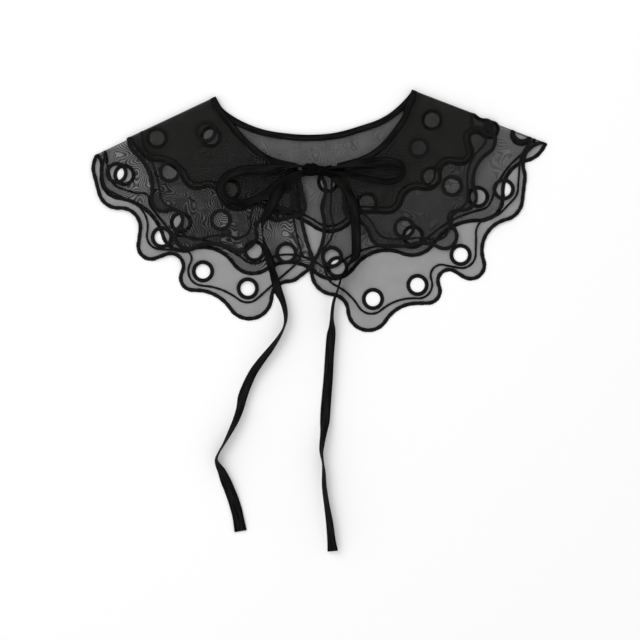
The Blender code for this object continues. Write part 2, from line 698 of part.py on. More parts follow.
def add_tier(name, pattern, back_height):
    holes = [ring_of(centre, EYELET_RADIUS, EYELET_SIDES) for centre in pattern.eyelets]
    rows = fold_lines(pattern.bend)
    fill = fill_points(pattern.outline, holes, rows)
    flat, faces = flat_mesh(pattern.outline, holes, rows, fill)
    outer, inner = laid(flat, pattern.bend, back_height, WALL)
    add_object(name, *closed_wall(outer, inner, faces), ORGANZA)


def add_neck_binding(name):
    bend = PITCH
    near = allow_for_folds(*neck_line(NECK_STEP, SEAM_GAP), bend)
    far = allow_for_folds(*neck_line(NECK_STEP, SEAM_GAP + BAND_WIDTH), bend)
    outline = np.concatenate([near, far[::-1]])
    rows = fold_lines(bend)
    flat, faces = flat_mesh(outline, [], rows, [])
    outer, inner = laid(flat, bend, band_back_height, BAND_THICKNESS)
    add_object(name, *closed_wall(outer, inner, faces), BINDING)


def stack_top(points, reach):
    """Height of the cloth's upper face within reach of each point, or 0 on the surface."""
    top = np.zeros(len(points))
    for pattern, height in ((UPPER, back_upper_height), (LOWER, back_lower_height)):
        covered = outside_by(points, pattern.outline) < reach
        top = np.where(covered, np.maximum(top, height(points, None) + WALL / 2), top)
    for fold in (LEFT_FOLD, RIGHT_FOLD):
        for pattern, height in ((LOWER, front_lower_height), (UPPER, front_upper_height)):
            covered = outside_by(mirrored(points, fold, pattern.bend), pattern.outline) < reach
            top = np.where(covered, np.maximum(top, height(points, fold) + WALL / 2), top)
    return top


def tape_sections(path, closed):
    """Four corners of the tape at each sample of its path."""
    samples, _ = smooth_line(path, TAPE_STEP, closed)
    plan, width, tilt, lift = samples[:, :2], samples[:, 2], samples[:, 3], samples[:, 4]
    tilt = np.radians(np.clip(tilt, 0, STEEPEST_TILT))
    rest = stack_top(plan, width.max() / 2) + TAPE_CLEARANCE
    if closed:
        rest = np.full(len(plan), rest.max())
        run = np.roll(plan, -1, axis=0) - np.roll(plan, 1, axis=0)
    else:
        run = np.gradient(plan, axis=0)
        length = np.concatenate([[0], np.cumsum(np.linalg.norm(np.diff(plan, axis=0), axis=1))])
        drop = TAPE_SLOPE * np.abs(length[:, None] - length)
        rest = (rest - drop).max(axis=1)
    run /= np.linalg.norm(run, axis=1)[:, None]
    side = np.column_stack([-run[:, 1], run[:, 0]])
    across = np.column_stack([side * np.cos(tilt)[:, None], np.sin(tilt)])
    through = np.column_stack([-side * np.sin(tilt)[:, None], np.cos(tilt)])
    half = (width * np.sin(tilt) + TAPE_WALL * np.cos(tilt)) / 2
    middle = np.column_stack([plan, rest + np.maximum(lift, 0) + half])
    corners = ((-1, -1), (1, -1), (1, 1), (-1, 1))
    return np.stack(
        [
            middle + across * (a * width / 2)[:, None] + through * (b * TAPE_WALL / 2)
            for a, b in corners
        ],
        axis=1,
    )


def add_tape(name, path, closed):
    sections = tape_sections(path, closed)
    count = len(sections)
    faces = []
    for i in range(count if closed else count - 1):
        here, after = 4 * i, 4 * ((i + 1) % count)
        for j in range(4):
            k = (j + 1) % 4
            faces += [(here + j, here + k, after + k), (here + j, after + k, after + j)]
    if not closed:
        last = 4 * (count - 1)
        faces += [(0, 2, 1), (0, 3, 2), (last, last + 1, last + 2), (last, last + 2, last + 3)]
    add_object(name, sections.reshape(-1, 3), np.array(faces), TAPE)


def add_knot(name):
    """A pillow whose section is a rounded box, drawn in at its waist by the tape round it."""
    half = np.array(KNOT_SIZE) / 2
    base = stack_top(np.array([KNOT_CENTRE]), half[0])[0] + TAPE_CLEARANCE
    points, faces = [], []
    for t in np.linspace(KNOT_END_ANGLE, math.pi - KNOT_END_ANGLE, KNOT_RINGS + 1):
        along = -math.cos(t)
        waist = KNOT_WAIST * math.exp(-((along / KNOT_WAIST_SPREAD) ** 2))
        swell = math.sin(t) ** KNOT_END_FULLNESS * (1 - waist)
        for j in range(KNOT_SIDES):
            angle = 2 * math.pi * j / KNOT_SIDES
            y = math.copysign(abs(math.cos(angle)) ** KNOT_SQUARENESS, math.cos(angle))
            z = math.copysign(abs(math.sin(angle)) ** KNOT_SQUARENESS, math.sin(angle))
            points.append((half[0] * along, half[1] * swell * y, half[2] * swell * z))
    for i in range(KNOT_RINGS):
        for j in range(KNOT_SIDES):
            a, b = i * KNOT_SIDES + j, i * KNOT_SIDES + (j + 1) % KNOT_SIDES
            faces += [(a, b, b + KNOT_SIDES), (a, b + KNOT_SIDES, a + KNOT_SIDES)]
    last = KNOT_RINGS * KNOT_SIDES
    faces += [(0, j + 1, j) for j in range(1, KNOT_SIDES - 1)]
    faces += [(last, last + j, last + j + 1) for j in range(1, KNOT_SIDES - 1)]
    points = np.array(points) + (*KNOT_CENTRE, base + half[2])
    add_object(name, points, np.array(faces), TAPE)


def centre_on_origin(items):
    """Moves the points of every object so that the middle of the collar's box is over the
    origin."""
    corners = np.array([corner for item in items for corner in item.bound_box])
    middle = (corners.min(axis=0) + corners.max(axis=0)) / 2
    for item in items:
        for vertex in item.data.vertices:
            vertex.co.x -= middle[0]
            vertex.co.y -= middle[1]


def main():
    clear_scene()
    add_tier("upper_tier", UPPER, back_upper_height)
    add_tier("lower_tier", LOWER, back_lower_height)
    add_neck_binding("neck_binding")
    add_knot("bow_knot")
    add_tape("bow_loop_left", LEFT_LOOP, closed=True)
    add_tape("bow_loop_right", RIGHT_LOOP, closed=True)
    add_tape("tie_end_left", LEFT_TIE, closed=False)
    add_tape("tie_end_right", RIGHT_TIE, closed=False)
    centre_on_origin(list(bpy.context.scene.collection.objects))


main()
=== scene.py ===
"""Looks of the detachable collar: sheer organza tiers, satin-stitched edges and eyelets, neck
binding, and a bow with two long ties, laid flat on a pale floor.

Lengths are in millimetres until a mesh is made. A cut piece is worked out flat, in its
pattern, and is then folded at the two shoulders and laid, so that what is sewn on it follows.
"""

import math
from collections import namedtuple

import bpy
import numpy as np
from bpy.props import FloatProperty, FloatVectorProperty, PointerProperty
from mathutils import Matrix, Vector
from mathutils.geometry import delaunay_2d_cdt


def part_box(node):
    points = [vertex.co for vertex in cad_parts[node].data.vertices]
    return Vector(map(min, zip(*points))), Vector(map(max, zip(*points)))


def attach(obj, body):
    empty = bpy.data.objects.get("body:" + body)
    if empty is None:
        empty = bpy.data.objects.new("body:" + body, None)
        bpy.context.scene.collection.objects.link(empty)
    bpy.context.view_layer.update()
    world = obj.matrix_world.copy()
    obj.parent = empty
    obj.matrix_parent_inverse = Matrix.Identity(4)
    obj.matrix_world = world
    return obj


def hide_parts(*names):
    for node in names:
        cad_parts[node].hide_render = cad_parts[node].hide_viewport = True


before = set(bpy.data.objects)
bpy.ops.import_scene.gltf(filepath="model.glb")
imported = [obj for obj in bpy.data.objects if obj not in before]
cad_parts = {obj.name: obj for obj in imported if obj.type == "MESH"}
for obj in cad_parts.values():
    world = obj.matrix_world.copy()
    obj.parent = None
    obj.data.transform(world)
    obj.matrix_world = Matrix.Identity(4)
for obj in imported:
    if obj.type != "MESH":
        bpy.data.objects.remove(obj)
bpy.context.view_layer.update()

bl_info = {
    "name": "Organza collar",
    "version": (1, 0, 0),
    "blender": (4, 5, 0),
    "location": "View3D > Sidebar > Collar",
    "description": "Builds the cloth, embroidery, bow and ties of a two-tier organza collar",
    "category": "Object",
}

METRES = 0.001

# Stack of the laid cloth, from the floor: back upper, back lower, front lower, front upper.
WALL = 1.0
PITCH = 1.5
SEAM_GAP = 0.3
SETTLE_START = 7.0
SETTLE_LENGTH = 18.0
BAND_WIDTH = 5.7
BAND_THICKNESS = WALL + PITCH
TAPE_WALL = 1.0
TAPE_CLEARANCE = 0.45
TAPE_SLOPE = 0.12
STEEPEST_TILT = 88.0
KNOT_CENTRE = (-3.4, 134.6)
KNOT_REACH = 12.0
KNOT_END_ANGLE = 0.06 * math.pi
KNOT_END_FULLNESS = 0.45
KNOT_WRAPS = 9
KNOT_WRAP_TWIST = 1.6
KNOT_WRAP_HEIGHT = 0.05

# How finely curves and cloth are drawn.
COARSE = 0.22
FINE = 0.04
NECK_STEP = 7.0
FINE_NECK_STEP = 2.0
FOLD_STEPS = 8
FOLD_ROW_STEP = 4.0
FOLD_REACH = (-14.0, 140.0)
EDGE_CLEARANCE = 0.55
FOLD_CLEARANCE = 0.6
CORD_STEP = 0.9
TAPE_STEP = 1.2
NEARLY_ROUND = 1.8 * math.pi
LEAST_RADIUS = 0.2
COARSEST_COSINE = 0.5
LEAST_STEPS = 8
TINY = 1e-12
MERGE_WITHIN = 1e-5
CHUNK = 3000
SHARP_ANGLE = math.radians(60)

# Sides of each kind of section, and the powers that square a round one.
EDGE_SIDES = 14
LINE_SIDES = 10
RING_SIDES = 12
BAND_SIDES = 20
TAPE_SIDES = 26
KNOT_SIDES = 40
BAND_SQUARENESS = 0.4
TAPE_WIDE_SQUARENESS = 0.45
TAPE_HIGH_SQUARENESS = 0.6
TAPE_WAIST = 0.35
KNOT_SQUARENESS = 0.7

# The cut edge lies hidden inside the cord that is stitched over it.
EDGE_TUCK = 1.2
HOLE_TUCK = 0.8
NECK_TUCK = 1.6
HOLE_SIDES = 40
RING_STEPS = 64

# Shoulder folds, from the neck end to the outer end.
Fold = namedtuple("Fold", "neck outer")
LEFT_FOLD = Fold(neck=(-94.4, 198.0), outer=(-200.4, 148.2))
RIGHT_FOLD = Fold(neck=(83.4, 204.2), outer=(205.4, 157.4))

# One row for each rounded part of an edge: centre, radius, and the radius of the hollow
# that joins it to the next row. A hollow of 0 is a straight run.
Round = namedtuple("Round", "x y radius hollow")

LOWER_LEFT_FRONT = (
    Round(x=-20.7, y=131.4, radius=2.7, hollow=190.0),
    Round(x=-17.4, y=53.6, radius=12.5, hollow=0.0),
    Round(x=-28.3, y=47.1, radius=14.0, hollow=14.0),
    Round(x=-63.7, y=21.2, radius=21.8, hollow=36.0),
    Round(x=-105.8, y=35.1, radius=10.3, hollow=0.0),
    Round(x=-114.4, y=37.9, radius=12.7, hollow=9.8),
    Round(x=-143.1, y=69.0, radius=12.6, hollow=0.0),
    Round(x=-152.0, y=66.4, radius=13.3, hollow=0.0),
    Round(x=-160.4, y=80.6, radius=3.0, hollow=16.0),
    Round(x=-181.5, y=118.4, radius=19.4, hollow=0.0),
    Round(x=-185.4, y=136.8, radius=20.3, hollow=10.8),
)
LOWER_BACK = (
    Round(x=-178.6, y=135.0, radius=19.8, hollow=0.0),
    Round(x=-178.6, y=127.6, radius=19.9, hollow=45.0),
    Round(x=-123.4, y=80.6, radius=20.2, hollow=31.0),
    Round(x=-60.5, y=62.9, radius=22.8, hollow=34.0),
    Round(x=11.3, y=60.6, radius=25.2, hollow=34.0),
    Round(x=82.8, y=82.0, radius=25.4, hollow=45.0),
    Round(x=144.0, y=110.2, radius=22.4, hollow=27.5),
    Round(x=180.9, y=165.5, radius=24.3, hollow=0.0),
    Round(x=202.1, y=158.9, radius=2.7, hollow=18.0),
)
LOWER_RIGHT_FRONT = (
    Round(x=166.4, y=128.5, radius=19.7, hollow=0.0),
    Round(x=163.0, y=108.9, radius=20.8, hollow=26.5),
    Round(x=135.6, y=49.5, radius=14.1, hollow=0.0),
    Round(x=124.5, y=47.0, radius=6.0, hollow=8.4),
    Round(x=97.0, y=26.3, radius=12.8, hollow=0.0),
    Round(x=86.4, y=30.4, radius=17.1, hollow=31.0),
    Round(x=43.6, y=9.0, radius=20.0, hollow=14.0),
    Round(x=13.3, y=43.8, radius=22.6, hollow=50.0),
    Round(x=18.9, y=100.8, radius=18.9, hollow=19.8),
    Round(x=1.6, y=130.8, radius=3.2, hollow=0.0),
)
UPPER_LEFT_FRONT = (
    Round(x=-20.7, y=131.4, radius=2.7, hollow=0.0),
    Round(x=-21.6, y=101.7, radius=9.9, hollow=0.0),
    Round(x=-38.7, y=99.0, radius=11.3, hollow=8.1),
    Round(x=-65.7, y=75.6, radius=10.8, hollow=0.0),
    Round(x=-72.0, y=71.1, radius=11.7, hollow=36.0),
    Round(x=-118.8, y=75.2, radius=13.1, hollow=7.2),
    Round(x=-140.2, y=108.9, radius=13.0, hollow=40.0),
    Round(x=-157.5, y=161.1, radius=15.8, hollow=0.0),
)
UPPER_BACK = (
    Round(x=-146.7, y=161.1, radius=19.4, hollow=25.2),
    Round(x=-110.7, y=131.4, radius=14.7, hollow=9.0),
    Round(x=-73.8, y=117.0, radius=19.4, hollow=18.9),
    Round(x=-35.1, y=112.5, radius=17.1, hollow=80.0),
    Round(x=8.6, y=103.4, radius=25.4, hollow=11.7),
    Round(x=43.2, y=105.8, radius=10.4, hollow=0.0),
    Round(x=59.9, y=110.7, radius=16.0, hollow=12.0),
    Round(x=95.4, y=130.1, radius=14.4, hollow=7.6),
    Round(x=125.6, y=151.7, radius=13.3, hollow=4.5),
    Round(x=152.1, y=171.9, radius=9.7, hollow=6.1),
)
UPPER_RIGHT_FRONT = (
    Round(x=143.6, y=161.6, radius=15.6, hollow=27.0),
    Round(x=128.7, y=110.7, radius=13.5, hollow=8.1),
    Round(x=111.9, y=75.2, radius=12.8, hollow=30.0),
    Round(x=75.6, y=82.8, radius=18.0, hollow=0.0),
    Round(x=57.6, y=79.2, radius=14.6, hollow=18.0),
    Round(x=33.8, y=102.2, radius=14.0, hollow=36.0),
    Round(x=17.3, y=130.6, radius=3.6, hollow=0.0),
)

# The fine line that is stitched inside each edge, round the eyelets.
LOWER_LEFT_LINE = (
    Round(x=-26.9, y=131.0, radius=1.0, hollow=190.0),
    Round(x=-30.0, y=60.3, radius=13.0, hollow=0.0),
    Round(x=-65.3, y=28.9, radius=13.1, hollow=58.0),
    Round(x=-105.3, y=44.1, radius=13.2, hollow=8.0),
    Round(x=-127.0, y=75.0, radius=12.2, hollow=0.0),
    Round(x=-143.4, y=76.0, radius=12.4, hollow=24.0),
    Round(x=-165.5, y=117.0, radius=11.5, hollow=0.0),
    Round(x=-182.4, y=127.3, radius=13.0, hollow=0.0),
    Round(x=-183.2, y=137.0, radius=13.0, hollow=14.0),
)
LOWER_BACK_LINE = (
    Round(x=-178.7, y=142.0, radius=13.0, hollow=0.0),
    Round(x=-176.0, y=131.0, radius=13.0, hollow=0.0),
    Round(x=-163.0, y=127.0, radius=13.0, hollow=6.0),
    Round(x=-141.4, y=108.0, radius=12.3, hollow=0.0),
    Round(x=-125.1, y=87.8, radius=12.3, hollow=110.0),
    Round(x=-59.0, y=62.3, radius=11.6, hollow=48.0),
    Round(x=8.0, y=60.5, radius=13.6, hollow=70.0),
    Round(x=83.0, y=77.0, radius=12.2, hollow=100.0),
    Round(x=142.5, y=111.5, radius=12.5, hollow=75.0),
    Round(x=180.9, y=164.0, radius=12.5, hollow=30.0),
)
LOWER_RIGHT_LINE = (
    Round(x=166.8, y=142.0, radius=12.9, hollow=0.0),
    Round(x=164.6, y=118.0, radius=13.4, hollow=0.0),
    Round(x=153.5, y=105.5, radius=12.8, hollow=15.0),
    Round(x=127.5, y=74.0, radius=12.9, hollow=0.0),
    Round(x=127.2, y=59.6, radius=12.9, hollow=0.0),
    Round(x=115.0, y=62.0, radius=12.9, hollow=9.8),
    Round(x=88.4, y=32.0, radius=12.6, hollow=44.0),
    Round(x=46.2, y=19.0, radius=13.4, hollow=50.0),
    Round(x=19.8, y=44.2, radius=14.3, hollow=0.0),
    Round(x=14.8, y=58.0, radius=13.0, hollow=22.0),
    Round(x=27.5, y=97.0, radius=18.0, hollow=0.0),
    Round(x=11.8, y=130.0, radius=1.0, hollow=0.0),
)
UPPER_LEFT_LINE = (
    Round(x=-26.0, y=130.0, radius=1.0, hollow=0.0),
    Round(x=-37.0, y=107.5, radius=12.0, hollow=6.0),
    Round(x=-74.0, y=86.0, radius=12.0, hollow=48.0),
    Round(x=-111.5, y=84.4, radius=12.4, hollow=11.0),
    Round(x=-131.6, y=112.5, radius=11.6, hollow=0.0),
    Round(x=-134.6, y=133.0, radius=12.3, hollow=0.0),
    Round(x=-148.0, y=166.0, radius=11.5, hollow=18.0),
)
UPPER_RIGHT_LINE = (
    Round(x=137.6, y=164.0, radius=11.8, hollow=38.0),
    Round(x=119.8, y=124.0, radius=12.5, hollow=0.0),
    Round(x=119.9, y=111.5, radius=12.8, hollow=7.0),
    Round(x=104.0, y=84.3, radius=12.3, hollow=50.0),
    Round(x=75.6, y=84.0, radius=11.6, hollow=0.0),
    Round(x=62.5, y=86.3, radius=13.2, hollow=38.0),
    Round(x=36.0, y=110.0, radius=10.5, hollow=0.0),
    Round(x=22.5, y=131.0, radius=1.0, hollow=0.0),
)
UPPER_BACK_LINE_INSET = 6.5

# Eyelet centres, one row for each.
Eyelet = namedtuple("Eyelet", "x y")
LOWER_LEFT_EYELETS = (
    Eyelet(x=-182.9, y=132.3),
    Eyelet(x=-142.2, y=74.4),
    Eyelet(x=-105.3, y=43.8),
    Eyelet(x=-65.0, y=28.4),
    Eyelet(x=-30.2, y=60.3),
)
LOWER_RIGHT_EYELETS = (
    Eyelet(x=10.8, y=56.7),
    Eyelet(x=47.7, y=18.9),
    Eyelet(x=87.7, y=31.5),
    Eyelet(x=126.5, y=58.6),
    Eyelet(x=165.2, y=117.5),
)
LOWER_BACK_EYELETS = (
    Eyelet(x=-176.0, y=130.5),
    Eyelet(x=-125.1, y=87.8),
    Eyelet(x=-59.0, y=62.1),
    Eyelet(x=15.7, y=47.6),
    Eyelet(x=83.7, y=75.6),
    Eyelet(x=142.2, y=110.7),
    Eyelet(x=180.9, y=166.5),
)
UPPER_LEFT_EYELETS = (
    Eyelet(x=-135.0, y=133.2),
    Eyelet(x=-89.1, y=90.0),
    Eyelet(x=-102.6, y=169.2),
    Eyelet(x=-31.0, y=107.5),
)
UPPER_RIGHT_EYELETS = (
    Eyelet(x=75.6, y=82.8),
    Eyelet(x=118.8, y=120.6),
    Eyelet(x=88.7, y=154.8),
    Eyelet(x=144.0, y=180.0),
)
UPPER_BACK_EYELETS = (
    Eyelet(x=-146.7, y=163.8),
    Eyelet(x=-98.1, y=164.7),
    Eyelet(x=100.8, y=180.0),
    Eyelet(x=99.9, y=128.7),
    Eyelet(x=42.3, y=105.3),
    Eyelet(x=7.2, y=124.2),
    Eyelet(x=-81.0, y=117.0),
)

# Neck edge of the tiers, one row for each station. Rows meet at the fold.
Station = namedtuple("Station", "x y")
LEFT_FRONT_NECK = (
    Station(x=-20.6, y=134.6),
    Station(x=-46.8, y=141.6),
    Station(x=-67.5, y=156.6),
    Station(x=-86.9, y=178.8),
    Station(x=-98.2, y=196.6),
)
BACK_NECK = (
    Station(x=-90.0, y=184.7),
    Station(x=-73.6, y=173.9),
    Station(x=-52.2, y=165.6),
    Station(x=-27.0, y=161.6),
    Station(x=-4.5, y=160.8),
    Station(x=16.2, y=162.9),
    Station(x=36.9, y=168.6),
    Station(x=57.4, y=176.0),
    Station(x=73.2, y=186.8),
)
RIGHT_FRONT_NECK = (
    Station(x=87.5, y=203.6),
    Station(x=82.2, y=190.8),
    Station(x=78.3, y=179.1),
    Station(x=60.3, y=155.7),
    Station(x=42.0, y=142.6),
    Station(x=16.6, y=134.8),
)

# Tape paths, one row for each station: centre, width of the tape, its tilt from flat in
# degrees, and how far it is lifted off what it lies on.
Tape = namedtuple("Tape", "x y width tilt lift")
LEFT_LOOP = (
    Tape(x=-9.0, y=135.4, width=5.6, tilt=82.0, lift=0.3),
    Tape(x=-17.2, y=138.2, width=6.0, tilt=72.0, lift=1.0),
    Tape(x=-24.0, y=137.6, width=6.8, tilt=62.0, lift=1.6),
    Tape(x=-38.0, y=136.4, width=9.0, tilt=34.0, lift=1.2),
    Tape(x=-54.0, y=135.2, width=10.0, tilt=26.0, lift=0.4),
    Tape(x=-70.2, y=134.1, width=9.6, tilt=28.0, lift=0.0),
    Tape(x=-82.0, y=129.6, width=9.4, tilt=30.0, lift=0.0),
    Tape(x=-88.4, y=121.5, width=9.4, tilt=28.0, lift=0.0),
    Tape(x=-88.0, y=113.5, width=9.4, tilt=28.0, lift=0.0),
    Tape(x=-81.5, y=107.0, width=8.8, tilt=30.0, lift=0.0),
    Tape(x=-71.0, y=104.9, width=8.0, tilt=34.0, lift=0.0),
    Tape(x=-59.5, y=107.6, width=8.0, tilt=34.0, lift=0.6),
    Tape(x=-48.0, y=114.0, width=8.4, tilt=34.0, lift=1.6),
    Tape(x=-36.5, y=123.5, width=7.8, tilt=44.0, lift=2.2),
    Tape(x=-24.0, y=131.4, width=6.4, tilt=64.0, lift=2.2),
    Tape(x=-15.0, y=133.6, width=6.0, tilt=74.0, lift=1.0),
)
RIGHT_LOOP = (
    Tape(x=4.4, y=134.4, width=5.6, tilt=82.0, lift=0.3),
    Tape(x=10.4, y=132.6, width=5.8, tilt=72.0, lift=1.0),
    Tape(x=17.0, y=131.8, width=6.4, tilt=64.0, lift=1.6),
    Tape(x=25.5, y=130.4, width=6.8, tilt=48.0, lift=1.6),
    Tape(x=36.5, y=128.0, width=7.2, tilt=40.0, lift=1.0),
    Tape(x=49.0, y=125.3, width=7.2, tilt=42.0, lift=0.3),
    Tape(x=62.0, y=124.0, width=7.4, tilt=46.0, lift=0.0),
    Tape(x=71.2, y=126.6, width=7.6, tilt=56.0, lift=0.0),
    Tape(x=75.4, y=133.0, width=7.6, tilt=56.0, lift=0.0),
    Tape(x=71.5, y=139.6, width=8.6, tilt=44.0, lift=0.0),
    Tape(x=62.0, y=142.2, width=9.4, tilt=32.0, lift=0.0),
    Tape(x=49.0, y=141.9, width=9.4, tilt=30.0, lift=0.2),
    Tape(x=34.5, y=140.2, width=8.8, tilt=34.0, lift=0.8),
    Tape(x=20.5, y=137.9, width=6.8, tilt=58.0, lift=1.6),
    Tape(x=11.0, y=136.6, width=6.0, tilt=72.0, lift=1.0),
)
LEFT_TIE = (
    Tape(x=-9.6, y=133.2, width=5.4, tilt=6.0, lift=0.0),
    Tape(x=-17.6, y=130.6, width=5.6, tilt=6.0, lift=0.0),
    Tape(x=-29.0, y=124.4, width=7.6, tilt=6.0, lift=0.0),
    Tape(x=-37.0, y=116.0, width=9.6, tilt=8.0, lift=0.0),
    Tape(x=-41.6, y=107.0, width=10.0, tilt=10.0, lift=0.0),
    Tape(x=-45.6, y=98.6, width=10.0, tilt=22.0, lift=0.0),
    Tape(x=-49.4, y=91.6, width=10.0, tilt=52.0, lift=0.0),
    Tape(x=-51.4, y=85.0, width=10.0, tilt=74.0, lift=0.0),
    Tape(x=-51.4, y=76.5, width=10.0, tilt=84.0, lift=0.0),
    Tape(x=-50.2, y=69.3, width=10.0, tilt=76.0, lift=0.0),
    Tape(x=-47.9, y=62.6, width=10.0, tilt=62.0, lift=0.0),
    Tape(x=-45.2, y=53.6, width=10.2, tilt=44.0, lift=0.0),
    Tape(x=-42.9, y=45.0, width=10.2, tilt=52.0, lift=0.0),
    Tape(x=-40.3, y=36.0, width=10.2, tilt=44.0, lift=0.0),
    Tape(x=-37.8, y=27.0, width=10.2, tilt=42.0, lift=0.0),
    Tape(x=-33.8, y=17.6, width=10.2, tilt=58.0, lift=0.0),
    Tape(x=-31.4, y=9.0, width=10.2, tilt=65.0, lift=0.0),
    Tape(x=-30.8, y=1.4, width=10.2, tilt=73.0, lift=0.0),
    Tape(x=-32.4, y=-6.3, width=10.2, tilt=81.0, lift=0.0),
    Tape(x=-36.6, y=-14.8, width=10.2, tilt=74.0, lift=0.0),
    Tape(x=-44.2, y=-25.7, width=10.2, tilt=61.0, lift=0.0),
    Tape(x=-52.7, y=-36.5, width=10.2, tilt=51.0, lift=0.0),
    Tape(x=-60.1, y=-47.2, width=10.2, tilt=44.0, lift=0.0),
    Tape(x=-65.4, y=-58.1, width=10.2, tilt=39.0, lift=0.0),
    Tape(x=-69.5, y=-68.9, width=10.2, tilt=35.0, lift=0.0),
    Tape(x=-71.9, y=-79.7, width=10.2, tilt=48.0, lift=0.0),
    Tape(x=-75.8, y=-90.5, width=10.2, tilt=57.0, lift=0.0),
    Tape(x=-81.1, y=-101.2, width=10.2, tilt=68.0, lift=0.0),
    Tape(x=-86.8, y=-112.0, width=10.2, tilt=80.0, lift=0.0),
    Tape(x=-90.9, y=-119.0, width=10.0, tilt=82.0, lift=0.0),
    Tape(x=-93.2, y=-125.2, width=9.8, tilt=76.0, lift=0.0),
    Tape(x=-91.4, y=-130.6, width=9.8, tilt=58.0, lift=0.0),
    Tape(x=-88.2, y=-136.2, width=10.0, tilt=42.0, lift=0.0),
    Tape(x=-85.2, y=-143.5, width=10.2, tilt=26.0, lift=0.0),
    Tape(x=-80.3, y=-155.2, width=10.2, tilt=16.0, lift=0.0),
    Tape(x=-76.0, y=-167.8, width=10.2, tilt=6.0, lift=0.0),
    Tape(x=-73.4, y=-178.5, width=10.2, tilt=6.0, lift=0.0),
    Tape(x=-71.4, y=-190.0, width=11.2, tilt=0.0, lift=0.0),
)
RIGHT_TIE = (
    Tape(x=6.0, y=132.4, width=5.4, tilt=6.0, lift=0.0),
    Tape(x=11.2, y=129.2, width=5.4, tilt=6.0, lift=0.0),
    Tape(x=15.6, y=124.8, width=6.4, tilt=6.0, lift=0.0),
    Tape(x=23.4, y=117.6, width=7.6, tilt=8.0, lift=0.0),
    Tape(x=29.8, y=103.5, width=9.0, tilt=14.0, lift=0.0),
    Tape(x=32.3, y=81.0, width=9.6, tilt=28.0, lift=0.0),
    Tape(x=32.4, y=60.5, width=9.8, tilt=32.0, lift=0.0),
    Tape(x=30.4, y=55.4, width=10.0, tilt=58.0, lift=0.0),
    Tape(x=26.6, y=51.0, width=10.0, tilt=76.0, lift=0.0),
    Tape(x=22.9, y=45.0, width=10.0, tilt=83.0, lift=0.0),
    Tape(x=18.5, y=36.0, width=10.0, tilt=82.0, lift=0.0),
    Tape(x=15.9, y=27.0, width=10.0, tilt=83.0, lift=0.0),
    Tape(x=12.7, y=18.0, width=10.0, tilt=77.0, lift=0.0),
    Tape(x=11.1, y=9.0, width=10.2, tilt=76.0, lift=0.0),
    Tape(x=10.6, y=0.0, width=10.2, tilt=72.0, lift=0.0),
    Tape(x=10.7, y=-7.6, width=10.2, tilt=54.0, lift=0.0),
    Tape(x=9.9, y=-14.8, width=10.2, tilt=39.0, lift=0.0),
    Tape(x=8.6, y=-31.1, width=10.2, tilt=39.0, lift=0.0),
    Tape(x=7.3, y=-52.6, width=10.2, tilt=36.0, lift=0.0),
    Tape(x=5.1, y=-79.7, width=10.2, tilt=30.0, lift=0.0),
    Tape(x=4.4, y=-90.5, width=10.2, tilt=34.0, lift=0.0),
    Tape(x=3.3, y=-100.6, width=10.2, tilt=54.0, lift=0.0),
    Tape(x=1.6, y=-113.0, width=10.2, tilt=66.0, lift=0.0),
    Tape(x=1.3, y=-119.5, width=10.2, tilt=73.0, lift=0.0),
    Tape(x=2.6, y=-128.2, width=10.0, tilt=81.0, lift=0.0),
    Tape(x=3.4, y=-136.5, width=10.0, tilt=73.0, lift=0.0),
    Tape(x=3.9, y=-150.0, width=10.0, tilt=66.0, lift=0.0),
    Tape(x=6.1, y=-166.1, width=10.0, tilt=61.0, lift=0.0),
    Tape(x=8.6, y=-182.0, width=10.2, tilt=52.0, lift=0.0),
    Tape(x=10.2, y=-197.0, width=10.2, tilt=44.0, lift=0.0),
    Tape(x=11.5, y=-207.8, width=10.8, tilt=30.0, lift=0.0),
)

# Turns of the tape in the knot, one row for each: middle, sizes, and heading in degrees.
Lobe = namedtuple("Lobe", "x y length width height heading")
KNOT_LOBES = (
    Lobe(x=-8.6, y=135.0, length=15.0, width=11.6, height=6.6, heading=4.0),
    Lobe(x=0.6, y=133.8, length=12.0, width=9.2, height=6.2, heading=-12.0),
    Lobe(x=10.0, y=133.4, length=13.0, width=10.6, height=6.0, heading=-10.0),
)

# Soft ridges that all the layers share: middle, half length, half width, height, heading.
Crease = namedtuple("Crease", "x y length width height heading")
CREASES = (
    Crease(x=-78.0, y=150.0, length=26.0, width=5.0, height=0.7, heading=232.0),
    Crease(x=-112.0, y=150.0, length=34.0, width=7.0, height=0.8, heading=205.0),
    Crease(x=-136.0, y=112.0, length=30.0, width=6.5, height=0.6, heading=222.0),
    Crease(x=-96.0, y=118.0, length=36.0, width=6.0, height=0.7, heading=238.0),
    Crease(x=-60.0, y=112.0, length=34.0, width=5.5, height=0.6, heading=255.0),
    Crease(x=-78.0, y=52.0, length=30.0, width=7.5, height=0.6, heading=248.0),
    Crease(x=52.0, y=112.0, length=36.0, width=6.0, height=0.7, heading=288.0),
    Crease(x=84.0, y=118.0, length=34.0, width=7.0, height=0.8, heading=302.0),
    Crease(x=112.0, y=150.0, length=32.0, width=6.0, height=0.6, heading=322.0),
    Crease(x=148.0, y=132.0, length=28.0, width=6.0, height=0.7, heading=308.0),
    Crease(x=96.0, y=58.0, length=26.0, width=6.5, height=0.5, heading=296.0),
    Crease(x=46.0, y=46.0, length=26.0, width=6.0, height=0.5, heading=278.0),
)
SWELL_HEIGHT = 0.18
SWELL_LENGTHS = (62.0, 47.0)

